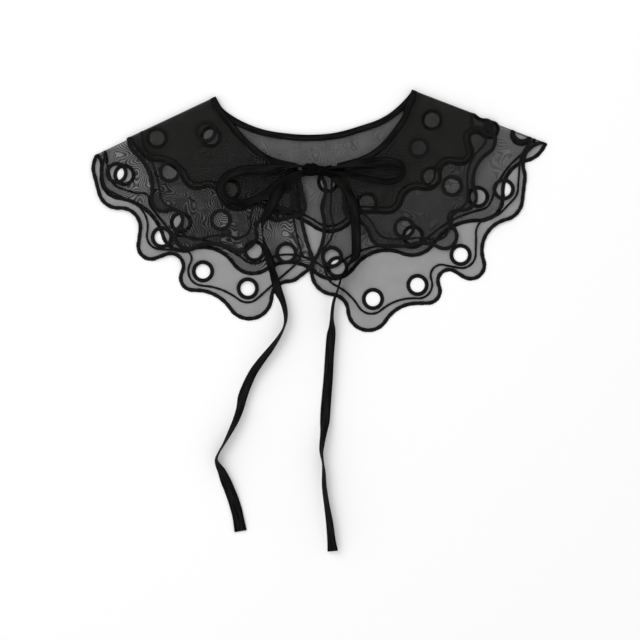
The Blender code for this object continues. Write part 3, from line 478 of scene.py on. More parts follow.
# Sines that waver a stitched cord's width and that crease a tape, one row for each: its
# share, its angle for each unit across and each millimetre along, and where it starts.
Wave = namedtuple("Wave", "share across along start")
CORD_WAVERS = (
    Wave(share=0.12, across=0.0, along=2.3, start=0.0),
    Wave(share=0.07, across=0.0, along=0.83, start=1.0),
)
TAPE_CREASES = (
    Wave(share=0.6, across=5.2, along=1 / 23, start=0.0),
    Wave(share=0.4, across=9.1, along=-1 / 37, start=1.3),
)

# How far thick and thin yarn changes the share of the light that the cloth stops.
SLUB = 0.03

# Where the threads of overlapping layers beat: the lengths over which it fades in and dies
# out, and how strong it is on the right, under a fourth layer and on the back.
BEAT_EDGE = 2.0
BEAT_HOLE_RADIUS = 7.0
BEAT_HOLE_EDGE = 1.5
BEAT_FALL_START = 20.0
BEAT_FALL_LENGTH = 30.0
BEAT_DEPTH = 6.0
BEAT_ON_RIGHT = 0.25
BEAT_UNDER_FOURTH = 0.25
BEAT_ON_BACK = 0.15

# Camera: straight above, where the reference's frame is 576 mm wide at the floor.
FRAME_WIDTH = 576.0
SENSOR_WIDTH = 36.0

# Half the floor's side, the soft light, and how far the camera sees, in metres.
FLOOR_HALF = 2.5
LIGHT_SIZE = 1.2
LIGHT_PLACE = (-0.9, 0.9, 1.5)
FAR_CLIP = 20.0

# Faces that a ray may pass: two for each layer of cloth and more along the folds.
TRANSPARENT_BOUNCES = 48


def linear(hex_colour):
    """sRGB hex to linear: c / 12.92 up to 0.04045, else ((c + 0.055) / 1.055) ** 2.4."""
    channels = np.array([int(hex_colour[i : i + 2], 16) for i in (1, 3, 5)]) / 255
    curve = ((channels + 0.055) / 1.055) ** 2.4
    return tuple(np.where(channels <= 0.04045, channels / 12.92, curve).tolist())


def unit(vectors):
    """Rows divided by their lengths."""
    return vectors / np.linalg.norm(vectors, axis=-1, keepdims=True)


def squared(wave, power):
    """A sine or cosine with its sign kept and its size raised to a power below 1, which
    squares the round section that it draws."""
    return np.sign(wave) * np.abs(wave) ** power


def wavy(waves, across, along):
    """Sum of share * sin(turns across + turns along + start)."""
    return sum(
        wave.share * np.sin(wave.across * across + wave.along * along + wave.start)
        for wave in waves
    )


def fold_axes(fold):
    """Neck end of the fold, the unit vector along it, and the one into the laid panels."""
    start = np.array(fold.neck)
    along = unit(np.array(fold.outer) - start)
    inward = np.array([-along[1], along[0]])
    if inward[1] > 0:
        inward = -inward
    return start, along, inward


def by_fold(points):
    """Each fold with its points, as a mask: the left one has those left of the middle."""
    left = points[:, 0] < 0
    return (LEFT_FOLD, left), (RIGHT_FOLD, ~left)


def sideways(line, closed=False):
    """The unit vector to the left of a line at each of its points."""
    if closed:
        run = np.roll(line, -1, axis=0) - np.roll(line, 1, axis=0)
    else:
        run = np.gradient(line, axis=0)
    run = unit(run)
    return np.column_stack([-run[:, 1], run[:, 0]])


def running_length(line):
    """Length of a line from its start to each of its points."""
    return np.concatenate([[0], np.cumsum(np.linalg.norm(np.diff(line, axis=0), axis=1))])


def run_coordinates(length, across, face=0.0):
    """(length, across, face) for each point of a grid, one row each."""
    return np.stack(np.broadcast_arrays(length, across, face), axis=-1).reshape(-1, 3)


def mirrored(points, fold, bend):
    """A laid front carried to the pattern, or back: mirrored in the fold, with the length
    pi * bend that the cloth spends on the fold between."""
    start, _, inward = fold_axes(fold)
    points = np.asarray(points, float)
    across = (points - start) @ inward
    return points - (2 * across + math.pi * bend)[..., None] * inward


def inset(rows, by):
    """Rounds moved inwards by a distance: the radius falls and the hollow grows by it."""
    return tuple(
        row._replace(
            radius=max(row.radius - by, LEAST_RADIUS),
            hollow=row.hollow + by if row.hollow else 0.0,
        )
        for row in rows
    )


def rounds_in_pattern(left_front, back, right_front, bend):
    """The three tables of a tier as one chain of (centre, radius, hollow) in its pattern."""
    chain = []
    for rows, fold in ((left_front, LEFT_FOLD), (back, None), (right_front, RIGHT_FOLD)):
        centres = np.array([(row.x, row.y) for row in rows])
        if fold:
            centres = mirrored(centres, fold, bend)
        chain += [(centre, row.radius, row.hollow) for centre, row in zip(centres, rows)]
    return chain


def arc(centre, radius, start, end, tolerance):
    """centre + radius * (cos, sin) of evenly spaced angles, close enough for the tolerance."""
    step = 2 * math.acos(max(1 - tolerance / radius, COARSEST_COSINE))
    count = max(1, math.ceil(abs(end - start) / step))
    angles = np.linspace(start, end, count + 1)
    return centre + radius * np.column_stack([np.cos(angles), np.sin(angles)])


def join(first, second):
    """Leaving and arriving angles on two rounds, with the centre of the hollow between
    them, or None for a straight run."""
    (centre_a, radius_a, hollow), (centre_b, radius_b, _) = first, second
    span = centre_b - centre_a
    distance = np.linalg.norm(span)
    ahead = span / distance
    outside = np.array([ahead[1], -ahead[0]])
    if not hollow:
        slant = (radius_a - radius_b) / distance
        normal = ahead * slant + outside * math.sqrt(max(1 - slant * slant, 0.0))
        angle = math.atan2(normal[1], normal[0])
        return angle, angle, None
    reach_a, reach_b = radius_a + hollow, radius_b + hollow
    along = (reach_a**2 - reach_b**2 + distance**2) / (2 * distance)
    centre = centre_a + ahead * along + outside * math.sqrt(max(reach_a**2 - along**2, 0.0))
    leave, arrive = centre - centre_a, centre - centre_b
    return math.atan2(leave[1], leave[0]), math.atan2(arrive[1], arrive[0]), centre


def scalloped_edge(chain, first_point, last_point, tolerance):
    """The edge along a chain of rounds: convex arcs joined by hollows or straight runs. It
    meets the first and the last round by straight runs from the two ends of the neck."""
    _, entering, _ = join((first_point, 0.0, 0.0), chain[0])
    runs = []
    for here, after in zip(chain, chain[1:] + [(last_point, 0.0, 0.0)]):
        centre, radius, hollow = here
        leaving, arriving, hollow_centre = join(here, after)
        sweep = (leaving - entering) % (2 * math.pi)
        if sweep > NEARLY_ROUND:
            sweep = 0.0
        runs.append(arc(centre, radius, entering, entering + sweep, tolerance))
        if hollow_centre is not None:
            begin = leaving + math.pi
            turn = (begin - (arriving + math.pi)) % (2 * math.pi)
            if turn < NEARLY_ROUND:
                runs.append(arc(hollow_centre, hollow, begin, begin - turn, tolerance)[1:-1])
        entering = arriving
    return np.concatenate(runs)


def smooth_line(stations, step, closed=False):
    """A Catmull-Rom line through rows of numbers: for each span, half of
    2b + (c - a)t + (2a - 5b + 4c - d)t^2 + (3b - a - 3c + d)t^3. Returns the samples, every
    station among them, and the index of each station."""
    rows = np.array(stations, float)
    if closed:
        padded = np.concatenate([rows[-1:], rows, rows[:2]])
    else:
        padded = np.concatenate([2 * rows[:1] - rows[1:2], rows, 2 * rows[-1:] - rows[-2:-1]])
    samples, places = [], []
    total = 0
    for before, start, end, after in zip(padded, padded[1:], padded[2:], padded[3:]):
        count = max(1, round(np.linalg.norm((end - start)[:2]) / step))
        t = (np.arange(count) / count)[:, None]
        samples.append(
            start
            + 0.5 * (end - before) * t
            + 0.5 * (2 * before - 5 * start + 4 * end - after) * t**2
            + 0.5 * (3 * start - before - 3 * end + after) * t**3
        )
        places.append(total)
        total += count
    if not closed:
        places.append(total)
        samples.append(rows[-1:])
    return np.concatenate(samples), places


def neck_line(step, offset=0.0):
    """The neck edge as one line in the unfolded pattern with no fold allowance, with the
    two indices where it crosses the folds. The offset runs towards the neck."""
    left = mirrored(LEFT_FRONT_NECK, LEFT_FOLD, 0.0)
    right = mirrored(RIGHT_FRONT_NECK, RIGHT_FOLD, 0.0)
    line, places = smooth_line(np.concatenate([left, BACK_NECK, right]), step)
    crossings = places[len(left) - 1], places[len(left) + len(BACK_NECK)]
    line = line + offset * sideways(line)
    for index, fold in zip(crossings, (LEFT_FOLD, RIGHT_FOLD)):
        start, along, _ = fold_axes(fold)
        line[index] = start + along * ((line[index] - start) @ along)
    return line, crossings


def allow_for_folds(line, crossings, bend, steps=1):
    """Moves the fronts of a neck line out by the length that their folds take up, with
    points in even steps across each fold."""
    first, second = crossings
    _, _, left_inward = fold_axes(LEFT_FOLD)
    _, _, right_inward = fold_axes(RIGHT_FOLD)
    allowance = math.pi * bend
    shares = (np.arange(1, steps) / steps)[:, None]
    return np.concatenate(
        [
            line[: first + 1] - allowance * left_inward,
            line[first] - allowance * (1 - shares) * left_inward,
            line[first : second + 1],
            line[second] - allowance * shares * right_inward,
            line[second:] - allowance * right_inward,
        ]
    )


def inside(points, outline):
    """Whether each point is inside a closed outline, by crossings of a ray."""
    ax, ay = outline[:, 0], outline[:, 1]
    bx, by = np.roll(ax, -1), np.roll(ay, -1)
    rise = np.where(by == ay, 1.0, by - ay)
    found = []
    for part in np.array_split(points, len(points) // CHUNK + 1):
        x, y = part[:, 0, None], part[:, 1, None]
        spans = (ay > y) != (by > y)
        found.append((spans & (x < (bx - ax) * (y - ay) / rise + ax)).sum(axis=1) % 2 == 1)
    return np.concatenate(found)


def distance_to(points, outline):
    """Distance of each point from the nearest side of a closed outline."""
    run = np.roll(outline, -1, axis=0) - outline
    length = np.maximum((run**2).sum(axis=1), TINY)
    found = []
    for part in np.array_split(points, len(points) // CHUNK + 1):
        away = part[:, None, :] - outline
        t = np.clip((away * run).sum(axis=2) / length, 0, 1)
        found.append(np.sqrt(((away - t[..., None] * run) ** 2).sum(axis=2).min(axis=1)))
    return np.concatenate(found)


def outside_by(points, outline):
    """Signed distance from an outline, above 0 outside it."""
    return distance_to(points, outline) * np.where(inside(points, outline), -1.0, 1.0)


# The flat shape of one cut piece, with its eyelets and the radius of its folds.
Pattern = namedtuple("Pattern", "outline eyelets bend")


def tier_pattern(fronts_and_back, eyelets, bend, tuck=0.0, neck_tuck=0.0, tolerance=COARSE):
    """A tier's outline in its pattern: the scalloped edge and then the neck, each moved by
    the length that is tucked into the cord or the binding."""
    chain = rounds_in_pattern(*(inset(rows, tuck) for rows in fronts_and_back), bend)
    neck = allow_for_folds(*neck_line(NECK_STEP, neck_tuck), bend)
    edge = scalloped_edge(chain, neck[0], neck[-1], tolerance)
    left, back, right = eyelets
    centres = np.concatenate(
        [mirrored(left, LEFT_FOLD, bend), back, mirrored(right, RIGHT_FOLD, bend)]
    )
    return Pattern(np.concatenate([edge, neck[::-1]]), centres, bend)


LOWER_ROUNDS = (LOWER_LEFT_FRONT, LOWER_BACK, LOWER_RIGHT_FRONT)
UPPER_ROUNDS = (UPPER_LEFT_FRONT, UPPER_BACK, UPPER_RIGHT_FRONT)
LOWER_LINE = (LOWER_LEFT_LINE, LOWER_BACK_LINE, LOWER_RIGHT_LINE)
UPPER_LINE = (UPPER_LEFT_LINE, inset(UPPER_BACK, UPPER_BACK_LINE_INSET), UPPER_RIGHT_LINE)
LOWER_HOLES = (LOWER_LEFT_EYELETS, LOWER_BACK_EYELETS, LOWER_RIGHT_EYELETS)
UPPER_HOLES = (UPPER_LEFT_EYELETS, UPPER_BACK_EYELETS, UPPER_RIGHT_EYELETS)
LOWER_BEND = PITCH / 2
UPPER_BEND = 1.5 * PITCH
LOWER = tier_pattern(LOWER_ROUNDS, LOWER_HOLES, LOWER_BEND)
UPPER = tier_pattern(UPPER_ROUNDS, UPPER_HOLES, UPPER_BEND)


def settled(distance):
    """1 over the cloth beneath, falling as 1 - t^2 (3 - 2t) to 0 beyond its edge."""
    t = np.clip((distance - SETTLE_START) / SETTLE_LENGTH, 0, 1)
    return 1 - t * t * (3 - 2 * t)


def back_upper_height(points, fold):
    """The back of the upper tier lies on the floor."""
    return np.full(len(points), WALL / 2)


def back_lower_height(points, fold):
    """One layer up where the upper tier's back lies beneath."""
    return WALL / 2 + PITCH * settled(outside_by(points, UPPER.outline))


def front_lower_height(points, fold):
    """One layer above the lower tier's back, where that lies beneath."""
    lift = PITCH * settled(outside_by(points, LOWER.outline))
    return back_lower_height(points, fold) + lift


def front_upper_height(points, fold):
    """One layer above the lower tier's front, where that lies beneath."""
    beneath = mirrored(points, fold, LOWER.bend)
    lift = PITCH * settled(outside_by(beneath, LOWER.outline))
    return front_lower_height(points, fold) + lift


def band_back_height(points, fold):
    """The binding's back holds both tiers' backs, so it is as thick as the two."""
    return np.full(len(points), BAND_THICKNESS / 2)


def band_front_height(points, fold):
    """The binding's fronts lie on its back."""
    return np.full(len(points), BAND_THICKNESS / 2 + 2 * PITCH)


FRONT_OF = {
    back_upper_height: front_upper_height,
    back_lower_height: front_lower_height,
    band_back_height: band_front_height,
}


def laid(points, offset, bend, back_height):
    """Pattern points folded and laid: on the back they keep their plan, on the fold they
    turn by across / bend round its axis, and on the fronts they lie turned over. Each then
    moves by its offset along the cloth's face, which is down on the back and up on the
    fronts."""
    offset = np.broadcast_to(offset, len(points))
    found = np.empty((len(points), 3))
    for fold, chosen in by_fold(points):
        part = points[chosen]
        start, _, inward = fold_axes(fold)
        across = (part - start) @ inward
        turn = np.clip(-across / bend, 0, math.pi)
        foot = part - across[:, None] * inward
        past = np.maximum(-across - math.pi * bend, 0) + np.maximum(across, 0)
        plan = foot + (past - bend * np.sin(turn))[:, None] * inward
        level = back_height(foot + past[:, None] * inward, fold)
        top = level + bend - bend * np.cos(turn)
        front = turn >= math.pi
        top[front] = FRONT_OF[back_height](plan[front], fold)
        top = np.where(across >= 0, level, top)
        face = np.column_stack([-np.sin(turn)[:, None] * inward, -np.cos(turn)])
        found[chosen] = np.column_stack([plan, top]) + face * offset[chosen, None]
    return found


def ripple(points):
    """Height that all layers share: for each crease height * exp(-(across / width)^2) *
    exp(-(along / length)^4), and a low swell of two crossed sines."""
    x, y, length, width, height, heading = np.array(CREASES).T
    cosine, sine = np.cos(np.radians(heading)), np.sin(np.radians(heading))
    away_x, away_y = points[:, 0, None] - x, points[:, 1, None] - y
    along = away_x * cosine + away_y * sine
    across = away_y * cosine - away_x * sine
    ridges = height * np.exp(-((across / width) ** 2) - (along / length) ** 4)
    phase = 2 * math.pi * points[:, :2] / np.array(SWELL_LENGTHS)
    swell = SWELL_HEIGHT * (1 + np.sin(phase[:, 0] + phase[:, 1]) * np.cos(phase[:, 1]))
    return ridges.sum(axis=1) + swell


def ring_of(centre, radius, sides):
    """centre + radius * (cos, sin) of even angles."""
    angles = np.arange(sides) * 2 * math.pi / sides
    return centre + radius * np.column_stack([np.cos(angles), np.sin(angles)])


def fold_lines(bend):
    """Straight rows of points along each fold, from where the cloth starts to bend to where
    it ends, reaching past the cloth at both ends."""
    rows = []
    for fold in (LEFT_FOLD, RIGHT_FOLD):
        start, along, inward = fold_axes(fold)
        reach = np.arange(*FOLD_REACH, FOLD_ROW_STEP)
        for step in range(FOLD_STEPS + 1):
            shift = -math.pi * bend * step / FOLD_STEPS
            rows.append(start + shift * inward + reach[:, None] * along)
    return rows


def fill_points(outline, holes, bend, step):
    """A triangular grid of points inside the outline, clear of every edge and fold."""
    low, high = outline.min(axis=0), outline.max(axis=0)
    x, y = np.meshgrid(
        np.arange(low[0], high[0], step), np.arange(low[1], high[1], step * math.sqrt(3) / 2)
    )
    x[1::2] += step / 2
    grid = np.column_stack([x.ravel(), y.ravel()])
    grid = grid[inside(grid, outline)]
    clearance = EDGE_CLEARANCE * step
    grid = grid[distance_to(grid, outline) > clearance]
    for hole in holes:
        centre = hole.mean(axis=0)
        radius = np.linalg.norm(hole[0] - centre)
        grid = grid[np.linalg.norm(grid - centre, axis=1) > radius + clearance]
    for fold in (LEFT_FOLD, RIGHT_FOLD):
        start, _, inward = fold_axes(fold)
        across = (grid - start) @ inward
        margin = FOLD_CLEARANCE * step
        grid = grid[(across > margin) | (across < -math.pi * bend - margin)]
    return grid


def flat_mesh(outline, holes, rows, fill):
    """Triangles of the cloth in its pattern, with every edge and fold kept as drawn. A
    scalloped outline with eyelets isn't a grid, so it is triangulated."""
    loops = [outline, *holes]
    lines = loops + rows
    starts = np.cumsum([0] + [len(line) for line in lines])
    points = np.concatenate(lines + [fill])
    edges = []
    for index, (line, first) in enumerate(zip(lines, starts.tolist())):
        edges += [(first + i, first + i + 1) for i in range(len(line) - 1)]
        if index < len(loops):
            edges.append((first + len(line) - 1, first))
    vectors = [Vector(point) for point in points]
    found, _, faces, _, _, _ = delaunay_2d_cdt(vectors, edges, [], 0, MERGE_WITHIN, False)
    found, faces = np.array(found), np.array(faces)
    middle = found[faces].mean(axis=1)
    kept = inside(middle, outline)
    for hole in holes:
        kept &= ~inside(middle, hole)
    faces = faces[kept]
    a, b, c = (found[faces[:, i]] for i in range(3))
    turned = (b - a)[:, 0] * (c - a)[:, 1] - (b - a)[:, 1] * (c - a)[:, 0] < 0
    faces[turned] = faces[turned][:, ::-1]
    used, faces = np.unique(faces, return_inverse=True)
    return found[used], faces.reshape(-1, 3)


def closed_shell(faces, count):
    """Faces of a shell whose outer points come first and inner ones after, with its sides
    along the edges that only one triangle has."""
    directed = np.concatenate([faces[:, [0, 1]], faces[:, [1, 2]], faces[:, [2, 0]]])
    codes = directed[:, 0] * count + directed[:, 1]
    reverse = directed[:, 1] * count + directed[:, 0]
    open_edges = directed[~np.isin(codes, reverse)]
    a, b = open_edges.T
    sides = np.column_stack([a, b, b + count, a + count])
    return faces[:, ::-1].tolist() + (faces + count).tolist() + sides.tolist()


def tube_faces(rings, sides, closed):
    """Quads of a grid of rings and sides, with its two ends closed if it is open."""
    ring = np.arange(rings if closed else rings - 1)[:, None]
    side = np.arange(sides)[None, :]
    after, beside = (ring + 1) % rings, (side + 1) % sides
    quads = np.stack(
        [
            ring * sides + side,
            ring * sides + beside,
            after * sides + beside,
            after * sides + side,
        ],
        axis=-1,
    )
    faces = quads.reshape(-1, 4).tolist()
    if not closed:
        faces.append(list(range(sides - 1, -1, -1)))
        faces.append(list(range((rings - 1) * sides, rings * sides)))
    return faces


def resampled(path, step, closed=False):
    """The path at even steps of its length."""
    line = np.concatenate([path, path[:1]]) if closed else path
    length = running_length(line)
    count = max(LEAST_STEPS, round(length[-1] / step))
    at = np.linspace(0, length[-1], count + 1)
    found = np.column_stack([np.interp(at, length, line[:, i]) for i in range(2)])
    return (found[:-1], at[:-1]) if closed else (found, at)


def cord_on_cloth(path, bend, back_height, half_width, half_height, sides, closed=False):
    """A flat cord of satin stitches carried along a line of the pattern: at each sample the
    profile is (half_width * cos, half_height * sin), laid with the cloth. An open cord's
    width wavers by sines of its length, as stitches do. Returns points, faces and (length,
    across)."""
    line, length = resampled(path, CORD_STEP, closed)
    lateral = sideways(line, closed)
    angles = np.arange(sides) * 2 * math.pi / sides
    waver = np.ones(len(line))
    if not closed:
        waver += wavy(CORD_WAVERS, 0.0, length)
    reach = half_width * waver[:, None] * np.cos(angles)
    plan = line[:, None, :] + lateral[:, None, :] * reach[..., None]
    raised = np.broadcast_to(half_height * np.sin(angles), reach.shape)
    points = laid(plan.reshape(-1, 2), raised.ravel(), bend, back_height)
    coordinates = run_coordinates(length[:, None], np.cos(angles))
    return points, tube_faces(len(line), sides, closed), coordinates


def stack_top(points, reach):
    """Height of the cloth's upper face within reach of each point, or 0 on the floor."""
    top = np.zeros(len(points))
    for pattern, height in ((UPPER, back_upper_height), (LOWER, back_lower_height)):
        covered = outside_by(points, pattern.outline) < reach
        top = np.where(covered, np.maximum(top, height(points, None) + WALL / 2), top)
    for fold in (LEFT_FOLD, RIGHT_FOLD):
        for pattern, height in ((LOWER, front_lower_height), (UPPER, front_upper_height)):
            covered = outside_by(mirrored(points, fold, pattern.bend), pattern.outline) < reach
            top = np.where(covered, np.maximum(top, height(points, fold) + WALL / 2), top)
    return top


def tape_surface(path, closed, relief):
    """A flat tape carried along its path: its section is (width / 2 * u, wall / 2 * v) with u
    a squared cosine and v a squared sine, thinner in the middle, tilted by the row's angle.
    Its middle is raised by sines that run along it, as creases. Returns points, faces and
    (length, across)."""
    samples, _ = smooth_line(path, TAPE_STEP, closed)
    plan, width, tilt, lift = samples[:, :2], samples[:, 2], samples[:, 3], samples[:, 4]
    tilt = np.radians(np.clip(tilt, 0, STEEPEST_TILT))
    rest = stack_top(plan, width.max() / 2) + TAPE_CLEARANCE
    length = running_length(plan)
    if closed:
        rest = np.full(len(plan), rest.max())
    else:
        drop = TAPE_SLOPE * np.abs(length[:, None] - length)
        rest = (rest - drop).max(axis=1)
    side = sideways(plan, closed)
    across = np.column_stack([side * np.cos(tilt)[:, None], np.sin(tilt)])
    through = np.column_stack([-side * np.sin(tilt)[:, None], np.cos(tilt)])
    half = (width * np.sin(tilt) + TAPE_WALL * np.cos(tilt)) / 2
    middle = np.column_stack([plan, rest + np.maximum(lift, 0) + half])
    angles = (np.arange(TAPE_SIDES) + 0.5) * 2 * math.pi / TAPE_SIDES
    u = squared(np.cos(angles), TAPE_WIDE_SQUARENESS)
    v = squared(np.sin(angles), TAPE_HIGH_SQUARENESS)
    crease = relief * (1 - u**4) * wavy(TAPE_CREASES, u, length[:, None])
    height = v * TAPE_WALL / 2 * (1 - TAPE_WAIST * (1 - u**2)) + crease
    points = (
        middle[:, None, :]
        + across[:, None, :] * (u * width[:, None] / 2)[..., None]
        + through[:, None, :] * height[..., None]
    )
    coordinates = run_coordinates(length[:, None], u, np.sign(height))
    return points.reshape(-1, 3), tube_faces(len(plan), TAPE_SIDES, closed), coordinates


def shift_of_frame():
    """How far the model's frame is from this script's, from the middle of the knot."""
    low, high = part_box("bow_knot")
    middle = np.array((low + high) / 2)[:2] / METRES
    return np.array([*(middle - KNOT_CENTRE), 0.0])


SHIFT = shift_of_frame()


def add_node(tree, kind, inputs=None, **settings):
    """Adds one node: settings are its properties, and inputs its sockets, each with a value
    or with another node's output."""
    made = tree.nodes.new(kind)
    for name, value in settings.items():
        setattr(made, name, value)
    for key, value in (inputs or {}).items():
        if isinstance(value, bpy.types.NodeSocket):
            tree.links.new(value, made.inputs[key])
        else:
            made.inputs[key].default_value = value
    return made


def new_material(name):
    """A material and its empty node tree."""
    found = bpy.data.materials.new(name)
    found.use_nodes = True
    found.node_tree.nodes.clear()
    return found, found.node_tree


def organza_material(cloth):
    """Sheer organza, woven of fine black yarn: a little over half of the light gets through
    a layer, and as much of it again on its way back off the floor. The real threads are
    0.3 mm apart, too fine to show, so the weave is drawn 1.7 mm apart. Where two layers lie
    on each other their threads beat in the grain of contour lines that the attribute "beat"
    masks, and a fold that stands upright stops more light."""
    found, tree = new_material("black polyester organza")
    weave = add_node(tree, "ShaderNodeAttribute", attribute_name="weave").outputs["Vector"]
    beat = add_node(tree, "ShaderNodeAttribute", attribute_name="beat").outputs["Fac"]
    place = add_node(tree, "ShaderNodeTexCoord").outputs["Object"]
    threads = [
        add_node(
            tree,
            "ShaderNodeTexWave",
            {"Vector": weave, "Scale": 0.314 / 1.7, "Distortion": 1.2, "Detail Scale": 0.4},
            bands_direction=direction,
        ).outputs["Fac"]
        for direction in "XY"
    ]
    crossed = add_node(
        tree, "ShaderNodeMath", {0: threads[0], 1: threads[1]}, operation="ADD"
    ).outputs[0]
    slub = add_node(
        tree, "ShaderNodeTexNoise", {"Vector": weave, "Scale": 0.09, "Detail": 3.0}
    ).outputs["Fac"]
    drift = add_node(
        tree,
        "ShaderNodeTexNoise",
        {"Vector": place, "Scale": 48.0, "Detail": 1.2, "Roughness": 0.35},
    ).outputs["Fac"]
    slant = add_node(
        tree, "ShaderNodeVectorMath", {0: place, 1: (2400.0, 900.0, 0.0)}, operation="DOT_PRODUCT"
    ).outputs["Value"]
    rings = add_node(
        tree, "ShaderNodeMath", {0: drift, 1: 135.0, 2: slant}, operation="MULTIPLY_ADD"
    ).outputs[0]
    centred = add_node(tree, "ShaderNodeMath", {0: rings}, operation="SINE").outputs[0]
    beating = add_node(
        tree, "ShaderNodeMath", {0: centred, 1: beat}, operation="MULTIPLY"
    ).outputs[0]
    alpha = add_node(
        tree,
        "ShaderNodeMapRange",
        {"Value": slub, "To Min": cloth.cover - SLUB, "To Max": cloth.cover + SLUB},
        clamp=False,
    ).outputs["Result"]
    alpha = add_node(
        tree, "ShaderNodeMath", {0: crossed, 1: 0.02, 2: alpha}, operation="MULTIPLY_ADD"
    ).outputs[0]
    alpha = add_node(
        tree,
        "ShaderNodeMath",
        {0: beating, 1: cloth.beat_depth, 2: alpha},
        operation="MULTIPLY_ADD",
    ).outputs[0]
    turned = add_node(tree, "ShaderNodeAttribute", attribute_name="turned").outputs["Fac"]
    alpha = add_node(
        tree,
        "ShaderNodeMath",
        {0: turned, 1: cloth.fold_cover, 2: alpha},
        operation="MULTIPLY_ADD",
        use_clamp=True,
    ).outputs[0]
    relief = add_node(
        tree, "ShaderNodeBump", {"Strength": 0.25, "Distance": 0.0002, "Height": crossed}
    ).outputs["Normal"]
    shader = add_node(
        tree,
        "ShaderNodeBsdfPrincipled",
        {
            "Base Color": (*cloth.colour, 1),
            "Roughness": 0.6,
            "Specular IOR Level": 0.03,
            "Alpha": alpha,
            "Normal": relief,
        },
    )
    add_node(tree, "ShaderNodeOutputMaterial", {"Surface": shader.outputs[0]})
    return found


def stitched_material(trim):
    """Satin stitch in black rayon thread: tight threads that run across the cord, with painted
    light on the threads in short streaks and painted shade between them. The threads are 0.35 mm,
    drawn 1.1 mm apart so that they show."""
    found, tree = new_material("black rayon satin stitch")
    along = add_node(tree, "ShaderNodeAttribute", attribute_name="run").outputs["Vector"]
    threads = add_node(
        tree,
        "ShaderNodeTexWave",
        {"Vector": along, "Scale": 0.314 / 1.1, "Distortion": 0.8},
        bands_direction="X",
    ).outputs["Fac"]
    uneven = add_node(
        tree, "ShaderNodeTexNoise", {"Vector": along, "Scale": 0.35, "Detail": 2.0}
    ).outputs["Fac"]
    shade = add_node(
        tree, "ShaderNodeMath", {0: threads, 1: uneven}, operation="MULTIPLY"
    ).outputs[0]
    # Painted light and shade: the lit thread colour on the threads, the painted shade colour
    # between them.
    colour = add_node(
        tree,
        "ShaderNodeMix",
        {"Factor": shade, 6: (*trim.thread_shadow, 1), 7: (*trim.thread, 1)},
        data_type="RGBA",
    ).outputs[2]
    relief = add_node(
        tree, "ShaderNodeBump", {"Strength": 0.6, "Distance": 0.0003, "Height": threads}
    ).outputs["Normal"]
    shader = add_node(
        tree,
        "ShaderNodeBsdfPrincipled",
        {
            "Base Color": colour,
            "Roughness": 0.45,
            "Specular IOR Level": 0.05,
            "Normal": relief,
        },
    )
    add_node(tree, "ShaderNodeOutputMaterial", {"Surface": shader.outputs[0]})
    return found


def tape_material(name, light, dark, across_scale):
    """Black woven cotton tape with pressed-in lengthwise creases, over a matt weave: painted
    light runs along it in streaks a few millimetres wide, standing in for light caught by the
    creases, and painted shade darkens both long edges."""
    found, tree = new_material(name)
    run = add_node(tree, "ShaderNodeAttribute", attribute_name="run").outputs["Vector"]
    stretched = add_node(
        tree, "ShaderNodeMapping", {"Vector": run, "Scale": (0.05, across_scale, 1.0)}
    ).outputs["Vector"]
    streaks = add_node(
        tree, "ShaderNodeTexNoise", {"Vector": stretched, "Scale": 1.0, "Detail": 3.0}
    ).outputs["Fac"]
    sharpened = add_node(
        tree,
        "ShaderNodeMapRange",
        {"Value": streaks, "From Min": 0.38, "From Max": 0.66},
    ).outputs["Result"]
    across = add_node(tree, "ShaderNodeSeparateXYZ", {0: run}).outputs["Y"]
    out = add_node(tree, "ShaderNodeMath", {0: across}, operation="ABSOLUTE").outputs[0]
    # Painted shade along both long edges of the tape, darkest at the edge.
    edge_shade = add_node(
        tree,
        "ShaderNodeMapRange",
        {"Value": out, "From Min": 0.55, "From Max": 0.85, "To Min": 1.0, "To Max": 0.1},
    ).outputs["Result"]
    # Painted light and shade: 1 where a streak is painted lit, falling towards 0 in the creases
    # and at the painted shade of the edges.
    lit = add_node(
        tree, "ShaderNodeMath", {0: sharpened, 1: edge_shade}, operation="MULTIPLY"
    ).outputs[0]
    nap = add_node(
        tree, "ShaderNodeTexNoise", {"Vector": run, "Scale": 0.9, "Detail": 2.0}
    ).outputs["Fac"]
    colour = add_node(
        tree,
        "ShaderNodeMix",
        {"Factor": lit, 6: (*dark, 1), 7: (*light, 1)},
        data_type="RGBA",
    ).outputs[2]
    height = add_node(tree, "ShaderNodeMath", {0: streaks, 1: nap}, operation="ADD").outputs[0]
    relief = add_node(
        tree, "ShaderNodeBump", {"Strength": 0.5, "Distance": 0.0004, "Height": height}
    ).outputs["Normal"]
    shader = add_node(
        tree,
        "ShaderNodeBsdfPrincipled",
        {
            "Base Color": colour,
            "Roughness": 0.7,
            "Specular IOR Level": 0.03,
            "Normal": relief,
        },
    )
    add_node(tree, "ShaderNodeOutputMaterial", {"Surface": shader.outputs[0]})
    return found


def floor_material(stage):
    """Matt white paper board: an even pale ground with hardly any tooth."""
    found, tree = new_material("white paper board")
    place = add_node(tree, "ShaderNodeTexCoord").outputs["Object"]
    tooth = add_node(
        tree, "ShaderNodeTexNoise", {"Vector": place, "Scale": 900.0, "Detail": 2.0}
    ).outputs["Fac"]
    relief = add_node(
        tree, "ShaderNodeBump", {"Strength": 0.05, "Distance": 0.0001, "Height": tooth}
    ).outputs["Normal"]
    shader = add_node(
        tree,
        "ShaderNodeBsdfPrincipled",
        {
            "Base Color": (*stage.floor, 1),
            "Roughness": 0.9,
            "Specular IOR Level": 0.1,
            "Normal": relief,
        },
    )
    add_node(tree, "ShaderNodeOutputMaterial", {"Surface": shader.outputs[0]})
    return found


